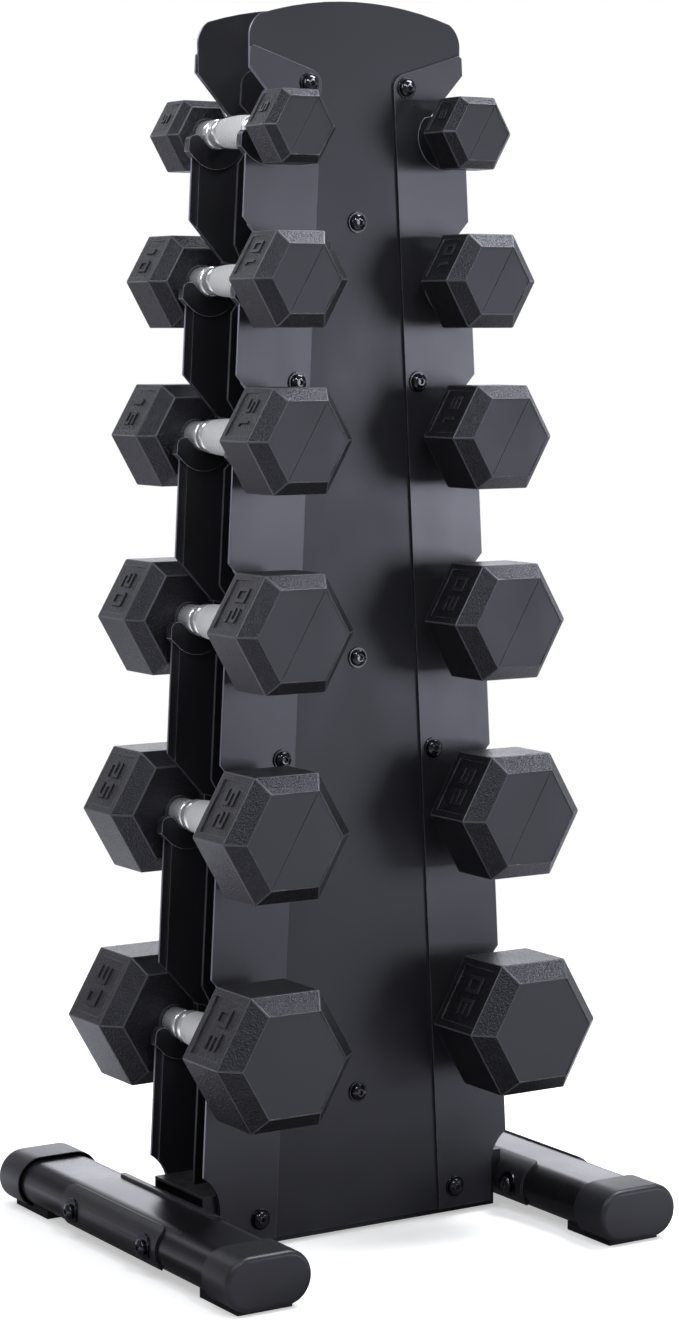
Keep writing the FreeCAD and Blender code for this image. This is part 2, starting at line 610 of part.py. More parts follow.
def label_pocket(row, x, face):
    """Recess in the upper left flank, deepest beside the handle and fading out towards the end."""
    facet = row["flats"] / math.sqrt(3) - 2 * row["border"]
    near = face * (GRIP_GAP / 2 + row["bevel"] + row["border"])
    far = face * (GRIP_GAP / 2 + row["length"] - row["bevel"] - LABEL_RUN_OUT)
    flank = -row["flats"] / 2
    outline = [(flank - LABEL_DEPTH, near), (flank + LABEL_DEPTH, near), (flank, far), (flank - LABEL_DEPTH, far)]
    points = [V(u, y, -facet / 2) for u, y in outline]
    pocket = Part.Face(Part.makePolygon(points + [points[0]])).extrude(V(0, 0, facet))
    pocket.rotate(V(0, 0, 0), Y_AXIS, FACET_TURN)
    pocket.translate(V(x, 0, row["z"]))
    return pocket


def rubber_coat(row, x, face):
    outside = hex_head(row, x, face, 0.0)
    boss = rod_y(BOSS_RADIUS, x, row["z"], face * (GRIP_GAP / 2 - BOSS_HEIGHT), face * (GRIP_GAP / 2 + COAT))
    whole = outside.fuse(boss).cut(label_pocket(row, x, face))
    return whole.cut([hex_head(row, x, face, COAT), shaft(row, x, face, 0.0)])


def handle(row, x):
    """Turned handle: bulged grip, ring, groove and collar at each end."""
    grip = row["grip"]
    ring = grip - RING_DROP
    end = GRIP_GAP / 2 + row["length"] - SHAFT_STOP
    steps = [(grip - GRIP_DROP, GRIP_END), (ring - THIN_GROOVE, GRIP_END),
             (ring - THIN_GROOVE, RING_FROM), (ring, RING_FROM), (ring, GROOVE_FROM),
             (GROOVE_RADIUS, GROOVE_FROM), (GROOVE_RADIUS, COLLAR_FROM), (COLLAR_RADIUS, COLLAR_FROM),
             (COLLAR_RADIUS, COLLAR_TO), (SHAFT_RADIUS, COLLAR_TO), (SHAFT_RADIUS, end), (0.0, end)]
    half = [V(x + r, y, row["z"]) for r, y in steps]
    other = [V(p.x, -p.y, p.z) for p in reversed(half)]
    bulge = Part.Arc(other[-1], V(x + grip, 0, row["z"]), half[0]).toShape()
    profile = Part.Wire([bulge, Part.makePolygon(half + other)])
    return Part.Face(profile).revolve(V(x, 0, row["z"]), Y_AXIS, 360)


# ---------------------------------------------------------------- build the nodes
for face_name, face in FACES.items():
    export(face_name + "_panel", [panel(face)])
    for side_name, side in SIDES.items():
        export(face_name + "_" + side_name + "_upright", [upright(side, face)])
    export(face_name + "_cradles", [cradle(row, side, face) for row in ROWS for side in (LEFT, RIGHT)])
    export(face_name + "_foot_caps", [foot_cap(side, face) for side in (LEFT, RIGHT)])

export("spine_plate", [spine()])
export("base_channel", [base_channel()])
export("spacer_bars", [spacer(face, z) for face in (FRONT, REAR) for z in CENTRE_BOLTS])

bolts = []
washers = []
nuts = []
for face in (FRONT, REAR):
    for z in CENTRE_BOLTS:
        bolts.append(face_bolt(face, 0.0, z, PANEL_OUT))
        washers.append(face_washer(face, 0.0, z, PANEL_OUT))
    for side in (LEFT, RIGHT):
        for x, z in UPRIGHT_BOLTS:
            on_base = z < BASE_TOP
            bolts.append(face_bolt(face, side * x, z, UPRIGHT_OUT))
            washers.append(face_washer(face, side * x, z, UPRIGHT_OUT))
            nuts.append(face_nut(face, side * x, z, PANEL_IN - (SHEET if on_base else 0.0)))
export("face_bolts", bolts)
export("face_washers", washers)
export("face_nuts", nuts)

for side_name, side in SIDES.items():
    export(side_name + "_foot_tube", [foot_tube(side)])
export("outer_clamps", [outer_clamp(side) for side in (LEFT, RIGHT)])
export("inner_clamps", [inner_clamp(side) for side in (LEFT, RIGHT)])
clamp_places = [(side, y) for side in (LEFT, RIGHT) for y in (-CLAMP_BOLT_Y, CLAMP_BOLT_Y)]
export("clamp_bolts", [clamp_bolt(side, y) for side, y in clamp_places])
export("clamp_sleeve_nuts", [sleeve_nut(side, y) for side, y in clamp_places])
outside_washers = [clamp_washer(side, y, ROUND_OUT, 1, BOLT_RADIUS) for side, y in clamp_places]
inside_washers = [clamp_washer(side, y, ROUND_IN, -1, SLEEVE_RADIUS) for side, y in clamp_places]
export("clamp_washers", outside_washers + inside_washers)
export("foot_pads", [foot_pad(side, face) for side in (LEFT, RIGHT) for face in (FRONT, REAR)])

for row in ROWS:
    for side_name, side in SIDES.items():
        x = side * row["x"]
        tag = "_" + str(row["lb"]) + "lb_" + side_name
        export("handle" + tag, [handle(row, x)])
        export("cores" + tag, [iron_core(row, x, face) for face in (FRONT, REAR)])
        export("coats" + tag, [rubber_coat(row, x, face) for face in (FRONT, REAR)])
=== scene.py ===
# %% [markdown]
# # A dressed dumbbell tower
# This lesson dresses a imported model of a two-sided dumbbell tower: notched steel sheet on two flat-oval
# feet, with twelve rubber hexagonal dumbbells lying by their handles in plastic cradles. We could model it
# all again here, but a second model drifts away from the first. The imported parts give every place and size,
# so we only swap hard computer edges for worked ones, build the pieces whose small forms carry the look
# (rubber heads, turned handles, button-head bolts), and give each surface a finish.

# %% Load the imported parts
import json
import math
import bmesh
import bpy
from mathutils import Matrix, Vector

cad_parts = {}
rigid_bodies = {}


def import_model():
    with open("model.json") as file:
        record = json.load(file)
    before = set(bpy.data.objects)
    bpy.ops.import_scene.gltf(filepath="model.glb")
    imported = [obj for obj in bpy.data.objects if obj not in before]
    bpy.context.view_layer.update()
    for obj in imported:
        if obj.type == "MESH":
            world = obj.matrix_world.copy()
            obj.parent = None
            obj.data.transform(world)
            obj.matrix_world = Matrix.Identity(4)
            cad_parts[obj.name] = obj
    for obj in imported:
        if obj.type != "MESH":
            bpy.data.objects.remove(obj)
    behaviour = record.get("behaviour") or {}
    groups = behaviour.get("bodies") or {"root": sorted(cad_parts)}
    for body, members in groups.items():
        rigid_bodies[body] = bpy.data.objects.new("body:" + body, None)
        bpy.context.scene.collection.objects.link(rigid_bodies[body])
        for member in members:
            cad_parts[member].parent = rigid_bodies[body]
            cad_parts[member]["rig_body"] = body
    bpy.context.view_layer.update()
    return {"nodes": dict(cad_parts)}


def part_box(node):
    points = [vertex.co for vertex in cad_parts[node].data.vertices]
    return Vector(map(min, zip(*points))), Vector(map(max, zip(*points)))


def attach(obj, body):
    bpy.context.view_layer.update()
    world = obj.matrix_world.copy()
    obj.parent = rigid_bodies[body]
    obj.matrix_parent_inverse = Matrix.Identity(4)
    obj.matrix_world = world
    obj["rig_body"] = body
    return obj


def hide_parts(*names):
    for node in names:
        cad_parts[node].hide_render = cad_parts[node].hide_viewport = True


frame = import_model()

# %% [markdown]
# ## Effects that several finishes share
# Powder coat, moulded rubber and enamel all vary a little: a fine grain, faint hand marks, paler edges
# that are partly wear and partly painted highlight, and a trace of dust on what faces up. Each effect could
# be copied into every material. A node group built once, with named inputs, is easier to read and to tune.
# A few short helpers keep the wiring of nodes readable.

# %% Helpers: numbers in a node tree


def feed(tree, value, socket):
    """Link a socket to this one, or write a number or a colour on it."""
    if isinstance(value, bpy.types.NodeSocket):
        tree.links.new(value, socket)
    else:
        socket.default_value = value


def maths(tree, operation, first, second=None, clamp=False):
    """One Math node; each operand is a socket or a number."""
    node = tree.nodes.new("ShaderNodeMath")
    node.operation = operation
    node.use_clamp = clamp
    for slot, value in enumerate((first, second)):
        if value is not None:
            feed(tree, value, node.inputs[slot])
    return node.outputs[0]


print("tree helpers: feed, maths")

# %% Helpers: noise, ranges and places


def noise(tree, vector, scale, detail):
    """Noise at a vector; scale is a number or a socket."""
    node = tree.nodes.new("ShaderNodeTexNoise")
    node.inputs["Detail"].default_value = detail
    feed(tree, scale, node.inputs["Scale"])
    tree.links.new(vector, node.inputs["Vector"])
    return node.outputs["Fac"]


def spread(tree, value, low, high, out_low=0.0, out_high=1.0):
    """Map a value from one range to another, held inside it."""
    node = tree.nodes.new("ShaderNodeMapRange")
    for slot, number in (("From Min", low), ("From Max", high), ("To Min", out_low), ("To Max", out_high)):
        node.inputs[slot].default_value = number
    tree.links.new(value, node.inputs["Value"])
    return node.outputs["Result"]


def own_place(tree):
    """Coordinates that stay with the object, in metres."""
    return tree.nodes.new("ShaderNodeTexCoord").outputs["Object"]


print("tree helpers: noise, spread, own_place")

# %% Helper: the shell of a node group


def new_group(name, inputs, output_names):
    """A group of number sockets, its inputs given as {name: default}, with its entry and exit nodes."""
    group = bpy.data.node_groups.new(name, "ShaderNodeTree")
    for label, default in inputs.items():
        socket = group.interface.new_socket(label, in_out="INPUT", socket_type="NodeSocketFloat")
        socket.default_value = default
    for label in output_names:
        group.interface.new_socket(label, in_out="OUTPUT", socket_type="NodeSocketFloat")
    print("group", name, "takes", list(inputs), "and gives", list(output_names))
    return group, group.nodes.new("NodeGroupInput").outputs, group.nodes.new("NodeGroupOutput").inputs


# %% [markdown]
# ## Grain
# Sprayed powder melts into a fine orange-peel skin, and a mould leaves a similar one on plastic and rubber.
# One noise alone looks like sand. Two sizes together look like a skin, and a third, slow one lets the tone
# drift over a hand's width, as real batches of paint do.

# %% Group: fine grain of a sprayed or moulded surface
WIDE_GRAIN = 0.22       # scale of the second noise, as a share of the first
DRIFT_SCALE = 11.0
DRIFT_RANGE = (0.3, 0.7)


def build_grain():
    """Two sizes of noise make the height of a grain, and a slow one its unevenness."""
    group, given, result = new_group("fine_grain", {"Scale": 900.0, "Coarse": 0.35}, ("Height", "Tone"))
    place = own_place(group)
    fine = noise(group, place, given["Scale"], detail=3.0)
    wide = noise(group, place, maths(group, "MULTIPLY", given["Scale"], WIDE_GRAIN), detail=2.0)
    mixed = maths(group, "ADD", fine, maths(group, "MULTIPLY", wide, given["Coarse"]))
    group.links.new(mixed, result["Height"])
    drift = noise(group, place, DRIFT_SCALE, detail=4.0)
    group.links.new(spread(group, drift, *DRIFT_RANGE), result["Tone"])
    return group


GRAIN = build_grain()

# %% [markdown]
# ## Hand marks
# People grip, lean on and wipe a rack, so its sheen is never quite even. Marks could be painted on an
# image, but a stretched noise needs no image and has no seams. A second, broad noise keeps the marks to a
# few patches.

# %% Group: faint marks left by hands and cloths
WIPE_STRETCH = (1.0, 1.0, 0.35)
WIPE_SLANT = (0.25, 0.5, 0.2)
WIPE_RANGE = (0.42, 0.68)
PATCH_SCALE = 4.5
PATCH_RANGE = (0.4, 0.65)


def build_hand_marks():
    """Stretched noise gives wipe marks; a second noise breaks them up."""
    group, given, result = new_group("hand_marks", {"Scale": 14.0, "Amount": 0.5}, ("Mask",))
    place = own_place(group)
    stretch = group.nodes.new("ShaderNodeMapping")
    stretch.inputs["Scale"].default_value = WIPE_STRETCH
    stretch.inputs["Rotation"].default_value = WIPE_SLANT
    group.links.new(place, stretch.inputs["Vector"])
    wipes = noise(group, stretch.outputs["Vector"], given["Scale"], detail=5.0)
    patches = noise(group, place, PATCH_SCALE, detail=2.0)
    wiped = spread(group, wipes, *WIPE_RANGE)
    both = maths(group, "MULTIPLY", wiped, spread(group, patches, *PATCH_RANGE))
    group.links.new(maths(group, "MULTIPLY", both, given["Amount"]), result["Mask"])
    return group


HAND_MARKS = build_hand_marks()

# %% [markdown]
# ## Paler edges: wear and painted highlight
# Use wears the edges paler first, and the pale grey also paints in the thin highlight that a rounded edge
# catches. The edges could be masked by hand on every mesh. A Bevel node finds them by itself: it gives a
# normal that is softened near an edge, and where that leaves the true normal there is an edge. It works on a
# solid of any shape.

# %% Group: edges worn paler, with a painted highlight
MM = 0.001              # a millimetre, in metres
WEAR_AND_HIGHLIGHT_REACH = 1.1 * MM
WEAR_AND_HIGHLIGHT_RANGE = (0.35, 0.6)     # of the noise that breaks the worn and highlighted edges up


def measured(tree, operation, first, second=None):
    """One Vector Math node that gives a number, such as a length or a dot product."""
    node = tree.nodes.new("ShaderNodeVectorMath")
    node.operation = operation
    for slot, value in enumerate((first, second)):
        if value is not None:
            feed(tree, value, node.inputs[slot])
    return node.outputs["Value"]


def build_edge_rub():
    """Where a slightly rounded normal leaves the true one, there is an edge."""
    group, given, result = new_group("edge_wear_and_highlight", {"Strength": 3.0, "Breakup": 60.0}, ("Mask",))
    soft = group.nodes.new("ShaderNodeBevel")
    soft.samples = 4
    soft.inputs["Radius"].default_value = WEAR_AND_HIGHLIGHT_REACH
    true = group.nodes.new("ShaderNodeNewGeometry").outputs["Normal"]
    alike = measured(group, "DOT_PRODUCT", soft.outputs["Normal"], true)
    bend = maths(group, "SUBTRACT", 1.0, alike, clamp=True)
    strong = maths(group, "MULTIPLY", bend, given["Strength"], clamp=True)
    broken = noise(group, own_place(group), given["Breakup"], detail=4.0)
    patchy = spread(group, broken, *WEAR_AND_HIGHLIGHT_RANGE)
    group.links.new(maths(group, "MULTIPLY", strong, patchy), result["Mask"])
    return group


EDGE_WEAR_AND_HIGHLIGHT = build_edge_rub()

# %% [markdown]
# ## Dust
# A trace of dust lies on what faces up and nowhere else. Particles would be far too heavy for that. The
# upward part of the normal already says how flat a face lies, and a fine noise makes the layer specky.

# %% Group: dust that settles on upward faces
DUST_FROM = 0.55        # a normal that points up less than this stays clean
EVEN_DUST = 0.3         # the even share of the layer; the rest is specks
SPECK_RANGE = (0.45, 0.75)


def split(tree, vector):
    """The X, Y and Z of a vector."""
    node = tree.nodes.new("ShaderNodeSeparateXYZ")
    tree.links.new(vector, node.inputs[0])
    return [node.outputs[axis] for axis in "XYZ"]


def build_dust():
    """Upward faces catch dust; noise keeps it uneven."""
    group, given, result = new_group("settled_dust", {"Amount": 0.2, "Scale": 160.0}, ("Mask",))
    normal = group.nodes.new("ShaderNodeNewGeometry").outputs["Normal"]
    up = spread(group, split(group, normal)[2], DUST_FROM, 1.0)
    fine = noise(group, own_place(group), given["Scale"], detail=6.0)
    specks = spread(group, fine, *SPECK_RANGE)
    layer = maths(group, "ADD", maths(group, "MULTIPLY", specks, 1.0 - EVEN_DUST), EVEN_DUST)
    both = maths(group, "MULTIPLY", up, layer)
    group.links.new(maths(group, "MULTIPLY", both, given["Amount"]), result["Mask"])
    return group


DUST = build_dust()

# %% [markdown]
# ## Knurl
# A knurling wheel presses two crossed families of spirals into the grip and leaves small diamonds. Cutting
# them as mesh would take a million faces. Two sine waves that follow the angle round the bar and the
# distance along it give the same pattern, and the lower of the two is the groove.

# %% Group: crossed grooves of a knurled grip


def build_knurl():
    """Two families of spiral grooves round the Y axis cross to leave small diamonds."""
    group, given, result = new_group("knurl", {"Teeth": 18.0, "Pitch": 1150.0}, ("Height",))
    x, y, z = split(group, own_place(group))
    around = maths(group, "MULTIPLY", maths(group, "ARCTAN2", z, x), given["Teeth"])
    along = maths(group, "MULTIPLY", y, given["Pitch"])
    right = maths(group, "ABSOLUTE", maths(group, "SINE", maths(group, "ADD", around, along)))
    left = maths(group, "ABSOLUTE", maths(group, "SINE", maths(group, "SUBTRACT", around, along)))
    group.links.new(maths(group, "MINIMUM", right, left), result["Height"])
    return group


KNURL = build_knurl()
print("shared effects:", len(bpy.data.node_groups))

# %% [markdown]
# ## One recipe for worn finishes
# Paint, plastic and rubber differ in their numbers more than in kind: a base colour that drifts a little, a
# roughness that hand marks and dust change, and a bump from the grain. One function builds that recipe, so
# each finish below is a short list of its own values. The shader stays in the material itself, because that
# is what an exporter reads.

# %% Helpers: groups, colours and bumps in a material


def place_group(tree, group, **values):
    """Put a shared effect in a material, with its own values; gives the effect's outputs."""
    node = tree.nodes.new("ShaderNodeGroup")
    node.node_tree = group
    for label, value in values.items():
        node.inputs[label].default_value = value
    return node.outputs


def blend(tree, factor, first, second, kind="RGBA", socket_type="RGBA"):
    """A Mix node: first where factor is 0, second where it is 1; each is a socket or a plain value."""
    mix = tree.nodes.new("ShaderNodeMix")
    mix.data_type = kind
    tree.links.new(factor, mix.inputs["Factor"])
    for label, value in (("A", first), ("B", second)):
        feed(tree, value, next(s for s in mix.inputs if s.name == label and s.type == socket_type))
    return next(s for s in mix.outputs if s.type == socket_type)


def bumped(tree, height, depth):
    """The normal of a surface that a height moves by up to depth."""
    bump = tree.nodes.new("ShaderNodeBump")
    bump.inputs["Strength"].default_value = 1.0
    bump.inputs["Distance"].default_value = depth
    tree.links.new(height, bump.inputs["Height"])
    return bump.outputs["Normal"]


def grey(value, blue=0.14):
    """A grey that leans a little to blue, or to brown where blue is negative."""
    return (value, value, value * (1 + blue), 1.0)


def new_material(name):
    """A material, with its node tree and its Principled shader's inputs."""
    material = bpy.data.materials.new(name)
    material.use_nodes = True
    return material, material.node_tree, material.node_tree.nodes["Principled BSDF"].inputs


print("a cool grey of 0.1 is written", tuple(round(v, 3) for v in grey(0.1)))

# %% Helper: the common recipe
SHEEN_TINT = (0.87, 0.87, 1.0, 1.0)     # black pigment gives its sheen a cold cast
DUST_GREY = grey(0.32, -0.06)
DUST_DULLS = 0.4
WIPE_POLISHES = -1.6                    # times the swing of the roughness
GLINT_TOPS = (0.68, 0.88)               # heights of the grain between which its tops are painted pale as glints


def worn_finish(name, greys, rough, grain, marks=0.5, dust=0.12, specular=0.5, wear_and_highlight_strength=3.0,
                rough_swing=0.08, metallic=0.0, painted_glint=0.0):
    """A finish from its (dark, light, pale) greys, its roughness and its grain's (scale, depth in mm).
    The pale grey marks worn edges and paints in edge highlights and glints.
    """
    material, tree, shader = new_material(name)
    dark, light, wear_and_highlight_grey = (grey(value) for value in greys)
    shader["Metallic"].default_value = metallic
    shader["Specular IOR Level"].default_value = specular
    shader["Specular Tint"].default_value = SHEEN_TINT
    skin = place_group(tree, GRAIN, Scale=grain[0])
    hands = place_group(tree, HAND_MARKS, Amount=marks)["Mask"]
    edges = place_group(tree, EDGE_WEAR_AND_HIGHLIGHT, Strength=wear_and_highlight_strength)["Mask"]
    settled = place_group(tree, DUST, Amount=dust)["Mask"]
    colour = blend(tree, skin["Tone"], dark, light)
    # paler edges: partly wear, partly a painted highlight
    colour = blend(tree, edges, colour, wear_and_highlight_grey)
    # painted glints: the highest grain takes the pale grey, standing in for light caught by the pebbles
    painted_glints = spread(tree, skin["Height"], *GLINT_TOPS, 0.0, painted_glint)
    colour = blend(tree, painted_glints, colour, wear_and_highlight_grey)
    colour = blend(tree, settled, colour, DUST_GREY)
    tree.links.new(colour, shader["Base Color"])
    uneven = maths(tree, "MULTIPLY", skin["Tone"], rough_swing)
    wiped = maths(tree, "MULTIPLY", hands, WIPE_POLISHES * rough_swing)
    dusty = maths(tree, "MULTIPLY", settled, DUST_DULLS)
    marked = maths(tree, "ADD", uneven, wiped)
    level = maths(tree, "ADD", marked, maths(tree, "ADD", dusty, rough), clamp=True)
    tree.links.new(level, shader["Roughness"])
    tree.links.new(bumped(tree, skin["Height"], grain[1] * MM), shader["Normal"])
    return material


print("recipe ready; its sheen is tinted", SHEEN_TINT[:3])

# %% [markdown]
# ## Finishes of the steelwork
# The sheet is powder coated a near-black grey; the uprights catch more light than the faces between them.
# The feet are a smoother enamel, and the thin sides of the sheet, where it was cut, catch the light as grey
# metal. That could be one material with a mask for the cut, but a second material on the same mesh stays
# exactly inside its faces.

# %% Finishes: paint and cut edges
COAT_GRAIN = (1500.0, 0.03)
PANEL_PAINT = worn_finish("panel_powder_coat", (0.009, 0.013, 0.12), 0.36, COAT_GRAIN)
UPRIGHT_PAINT = worn_finish("upright_powder_coat", (0.011, 0.016, 0.16), 0.30, COAT_GRAIN, specular=0.75)
# spine and base channel sit in the bay between the faces; their darker greys are painted shade
SPINE_PAINT_SHADED = worn_finish("spine_coat_painted_shade", (0.003, 0.005, 0.12), 0.42, COAT_GRAIN)
FOOT_PAINT = worn_finish("foot_enamel", (0.004, 0.006, 0.08), 0.26, (700.0, 0.01), dust=0.02, specular=0.4,
                         rough_swing=0.05)
CLAMP_PAINT = worn_finish("clamp_powder_coat", (0.008, 0.012, 0.12), 0.34, COAT_GRAIN)
CUT_EDGE = worn_finish("cut_sheet_edge", (0.20, 0.28, 0.34), 0.36, (1500.0, 0.01), dust=0.0, metallic=1.0)
print("paints and cut edge:", len(bpy.data.materials))

# %% [markdown]
# ## Finishes of the mouldings
# Caps, cradles and pads are black plastic and rubber with a finer or coarser mould grain. The cradles' rims
# are painted pale as a highlight. One recipe with other numbers does for all of them, and the rim's finish
# goes on the bevel's own faces.

# %% Finishes: plastic and pads
CAP_PLASTIC = worn_finish("cap_plastic", (0.012, 0.017, 0.05), 0.36, (1900.0, 0.05), dust=0.03, specular=0.45)
CRADLE_PLASTIC = worn_finish("cradle_plastic", (0.006, 0.010, 0.06), 0.34, (1600.0, 0.03))
# a pale grey on the cradles' bevels: a painted highlight on their rims
CRADLE_RIM_HIGHLIGHT = worn_finish("cradle_rim_painted_highlight", (0.28, 0.36, 0.40), 0.30, (1600.0, 0.01), dust=0.0)
PAD_RUBBER = worn_finish("pad_rubber", (0.008, 0.012, 0.03), 0.75, (1200.0, 0.06))
print("with mouldings:", len(bpy.data.materials))

# %% [markdown]
# ## Finishes of bolts and washers
# Bolts are blackened and lightly oiled, so they are dark and glossy; the washers are black zinc, which is
# still a metal. A metallic value of 1 makes the difference: it colours the reflection instead of laying it
# over a dark base.

# %% Finishes: bolts and washers
BOLT_BLACK = worn_finish("bolt_black_oxide", (0.004, 0.007, 0.20), 0.10, (900.0, 0.01), marks=0.3, dust=0.0,
                         specular=0.8, wear_and_highlight_strength=1.2, rough_swing=0.04)
WASHER_BLACK = worn_finish("washer_black_zinc", (0.03, 0.05, 0.20), 0.18, (900.0, 0.01), dust=0.0,
                           rough_swing=0.06, metallic=1.0)
print("with fasteners:", len(bpy.data.materials))

# %% [markdown]
# ## Rubber of the heads
# The mould of a rubber head is polished on the outer face and etched everywhere else, so the flanks and
# chamfers have a pebbled skin, with faint painted glints on its tops. The round edges get a paler rubber, a
# painted highlight. All could be one material with masks. Three materials on one mesh are simpler, and each
# face keeps its own finish exactly to its edge.

# %% Finishes: rubber
RUBBER_SMOOTH = worn_finish("rubber_smooth_face", (0.013, 0.017, 0.06), 0.42, (420.0, 0.02), marks=0.7,
                            dust=0.0, rough_swing=0.10)
# its grain tops carry faint painted glints
RUBBER_PEBBLED = worn_finish("rubber_pebbled_flank", (0.004, 0.007, 0.14), 0.32, (600.0, 1.10), marks=0.3,
                             dust=0.0, painted_glint=0.08)
# pale rubber on the round edges of the heads: a painted highlight
RUBBER_EDGE_HIGHLIGHT = worn_finish("rubber_edge_painted_highlight", (0.038, 0.065, 0.08), 0.30, (700.0, 0.02), marks=0.6,
                          dust=0.0)
print("with rubber:", len(bpy.data.materials))

# %% [markdown]
# ## Chrome of the handles
# The handle is bright plated steel, and its grip is knurled. Plated metal needs no drift of colour, so it
# has a short recipe of its own: hand marks that dull it, and for the grip the knurl as a bump. The knurl's
# valleys are painted dark as shade in the grooves, and the grip mirrors less than the turned rings.

# %% Finishes: chrome
PLATE_BRIGHT = grey(0.97, 0.01)
PLATE_HANDLED = grey(0.86, -0.01)
VALLEY_SHADE = grey(0.22, 0.0)
VALLEY = (0.10, 0.50)           # heights of the knurl between which it turns from dark to bright
KNURL_DEPTH = 0.4 * MM
PLATE_GRAIN = 0.01 * MM
MARKS_DULL = 0.15


def chrome(name, rough, metallic, knurled):
    """Plated steel, turned smooth or knurled."""
    material, tree, shader = new_material(name)
    shader["Metallic"].default_value = metallic
    hands = place_group(tree, HAND_MARKS, Scale=45.0, Amount=0.8)["Mask"]
    colour = blend(tree, hands, PLATE_BRIGHT, PLATE_HANDLED)
    if knurled:
        height = place_group(tree, KNURL)["Height"]
        # painted shade: the knurl's grooves are darkened
        colour = blend(tree, spread(tree, height, *VALLEY), VALLEY_SHADE, colour)
        normal = bumped(tree, height, KNURL_DEPTH)
    else:
        normal = bumped(tree, place_group(tree, GRAIN, Scale=500.0)["Height"], PLATE_GRAIN)
    tree.links.new(colour, shader["Base Color"])
    tree.links.new(maths(tree, "ADD", maths(tree, "MULTIPLY", hands, MARKS_DULL), rough), shader["Roughness"])
    tree.links.new(normal, shader["Normal"])
    return material


CHROME_TURNED = chrome("chrome_turned", 0.20, 0.80, knurled=False)
CHROME_KNURLED = chrome("chrome_knurled", 0.34, 0.28, knurled=True)
print("finishes:", len(bpy.data.materials))

# %% [markdown]
# ## From a mesh to a piece
# On the real tower every part belongs to the rack or to a dumbbell that a hand can lift. Here each mesh
# rides on one of those bodies. A mesh could be made with operators in edit mode, but those depend on what
# is selected. Building with bmesh keeps every step explicit, so the same script always gives the same mesh.

# %% Helpers: put a mesh in the scene as a piece


def add_to_scene(name, data):
    """A new object that shows a mesh, a lamp or a camera."""
    item = bpy.data.objects.new(name, data)
    bpy.context.scene.collection.objects.link(item)
    return item


def make_piece(name, bm, body, materials, origin=(0.0, 0.0, 0.0)):
    """Turn a bmesh built round origin into an object that rides on a body."""
    mesh = bpy.data.meshes.new(name)
    bmesh.ops.recalc_face_normals(bm, faces=bm.faces)
    bm.to_mesh(mesh)
    bm.free()
    piece = add_to_scene(name, mesh)
    piece.location = origin
    for material in materials:
        mesh.materials.append(material)
    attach(piece, body)
    return piece


# %% [markdown]
# ## Edges as a workshop leaves them
# No made edge is a knife edge: sheet is deburred, and a moulding leaves its mould with a small radius. The
# radius could be cut into each mesh. A Bevel modifier does it with one number, can use a material of its
# own for the new faces, and its hardened normals keep the flat faces flat.

# %% Helpers: smooth shading and broken edges
BEVEL_ABOVE = 35.0      # degrees; gentler edges stay as they are


def smooth_by_angle(piece, degrees=32.0):
    """Shade smooth, but keep edges sharper than the angle crisp."""
    mesh = piece.data
    mesh.shade_smooth()
    mesh.set_sharp_from_angle(angle=math.radians(degrees))


def round_edges(piece, width, segments=2, by_weight=False, edge_slot=-1):
    """Break the edges with a small bevel; edge_slot is the material of the bevel's own faces."""
    bevel = piece.modifiers.new("broken_edges", "BEVEL")
    bevel.width = width
    bevel.segments = segments
    bevel.limit_method = "WEIGHT" if by_weight else "ANGLE"
    bevel.angle_limit = math.radians(BEVEL_ABOVE)
    bevel.harden_normals = True
    bevel.material = edge_slot


print("edges sharper than", BEVEL_ABOVE, "degrees get a bevel")

# %% [markdown]
# ## Steelwork, cradles, caps and feet
# These parts have the right form already. What gives a computer part away is its knife edges, so each gets
# a worked copy: the same mesh with its seams welded, its flat triangles joined, and a small bevel on every
# edge. The bevel's width follows the real process: under half a millimetre on sheet and turned steel, a
# little more on mouldings and rolled plate.

# %% Helper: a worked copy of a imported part
WELD = 0.01 * MM
FLAT_WITHIN = 0.4       # degrees; triangles this flat to each other are joined
CUT_SIDE = 0.5          # a normal that points less than this to front or rear is on the sheet's cut side


def worked_copy(node, material, width, cut=None, rim=None):
    """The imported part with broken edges; cut is the finish of a sheet's cut sides, rim that of the bevels."""
    source = frame["nodes"][node]
    bm = bmesh.new()
    bm.from_mesh(source.data)
    bmesh.ops.remove_doubles(bm, verts=bm.verts, dist=WELD)
    bmesh.ops.dissolve_limit(bm, angle_limit=math.radians(FLAT_WITHIN), verts=bm.verts, edges=bm.edges,
                             delimit=set())
    if cut:
        for face in bm.faces:
            face.material_index = 1 if abs(face.normal.y) < CUT_SIDE else 0
    finishes = [finish for finish in (material, cut, rim) if finish]
    piece = make_piece(node + "_worked", bm, source["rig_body"], finishes)
    smooth_by_angle(piece)
    round_edges(piece, width, edge_slot=1 if rim else -1)
    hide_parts(node)


print("seams are welded within", WELD / MM, "mm")

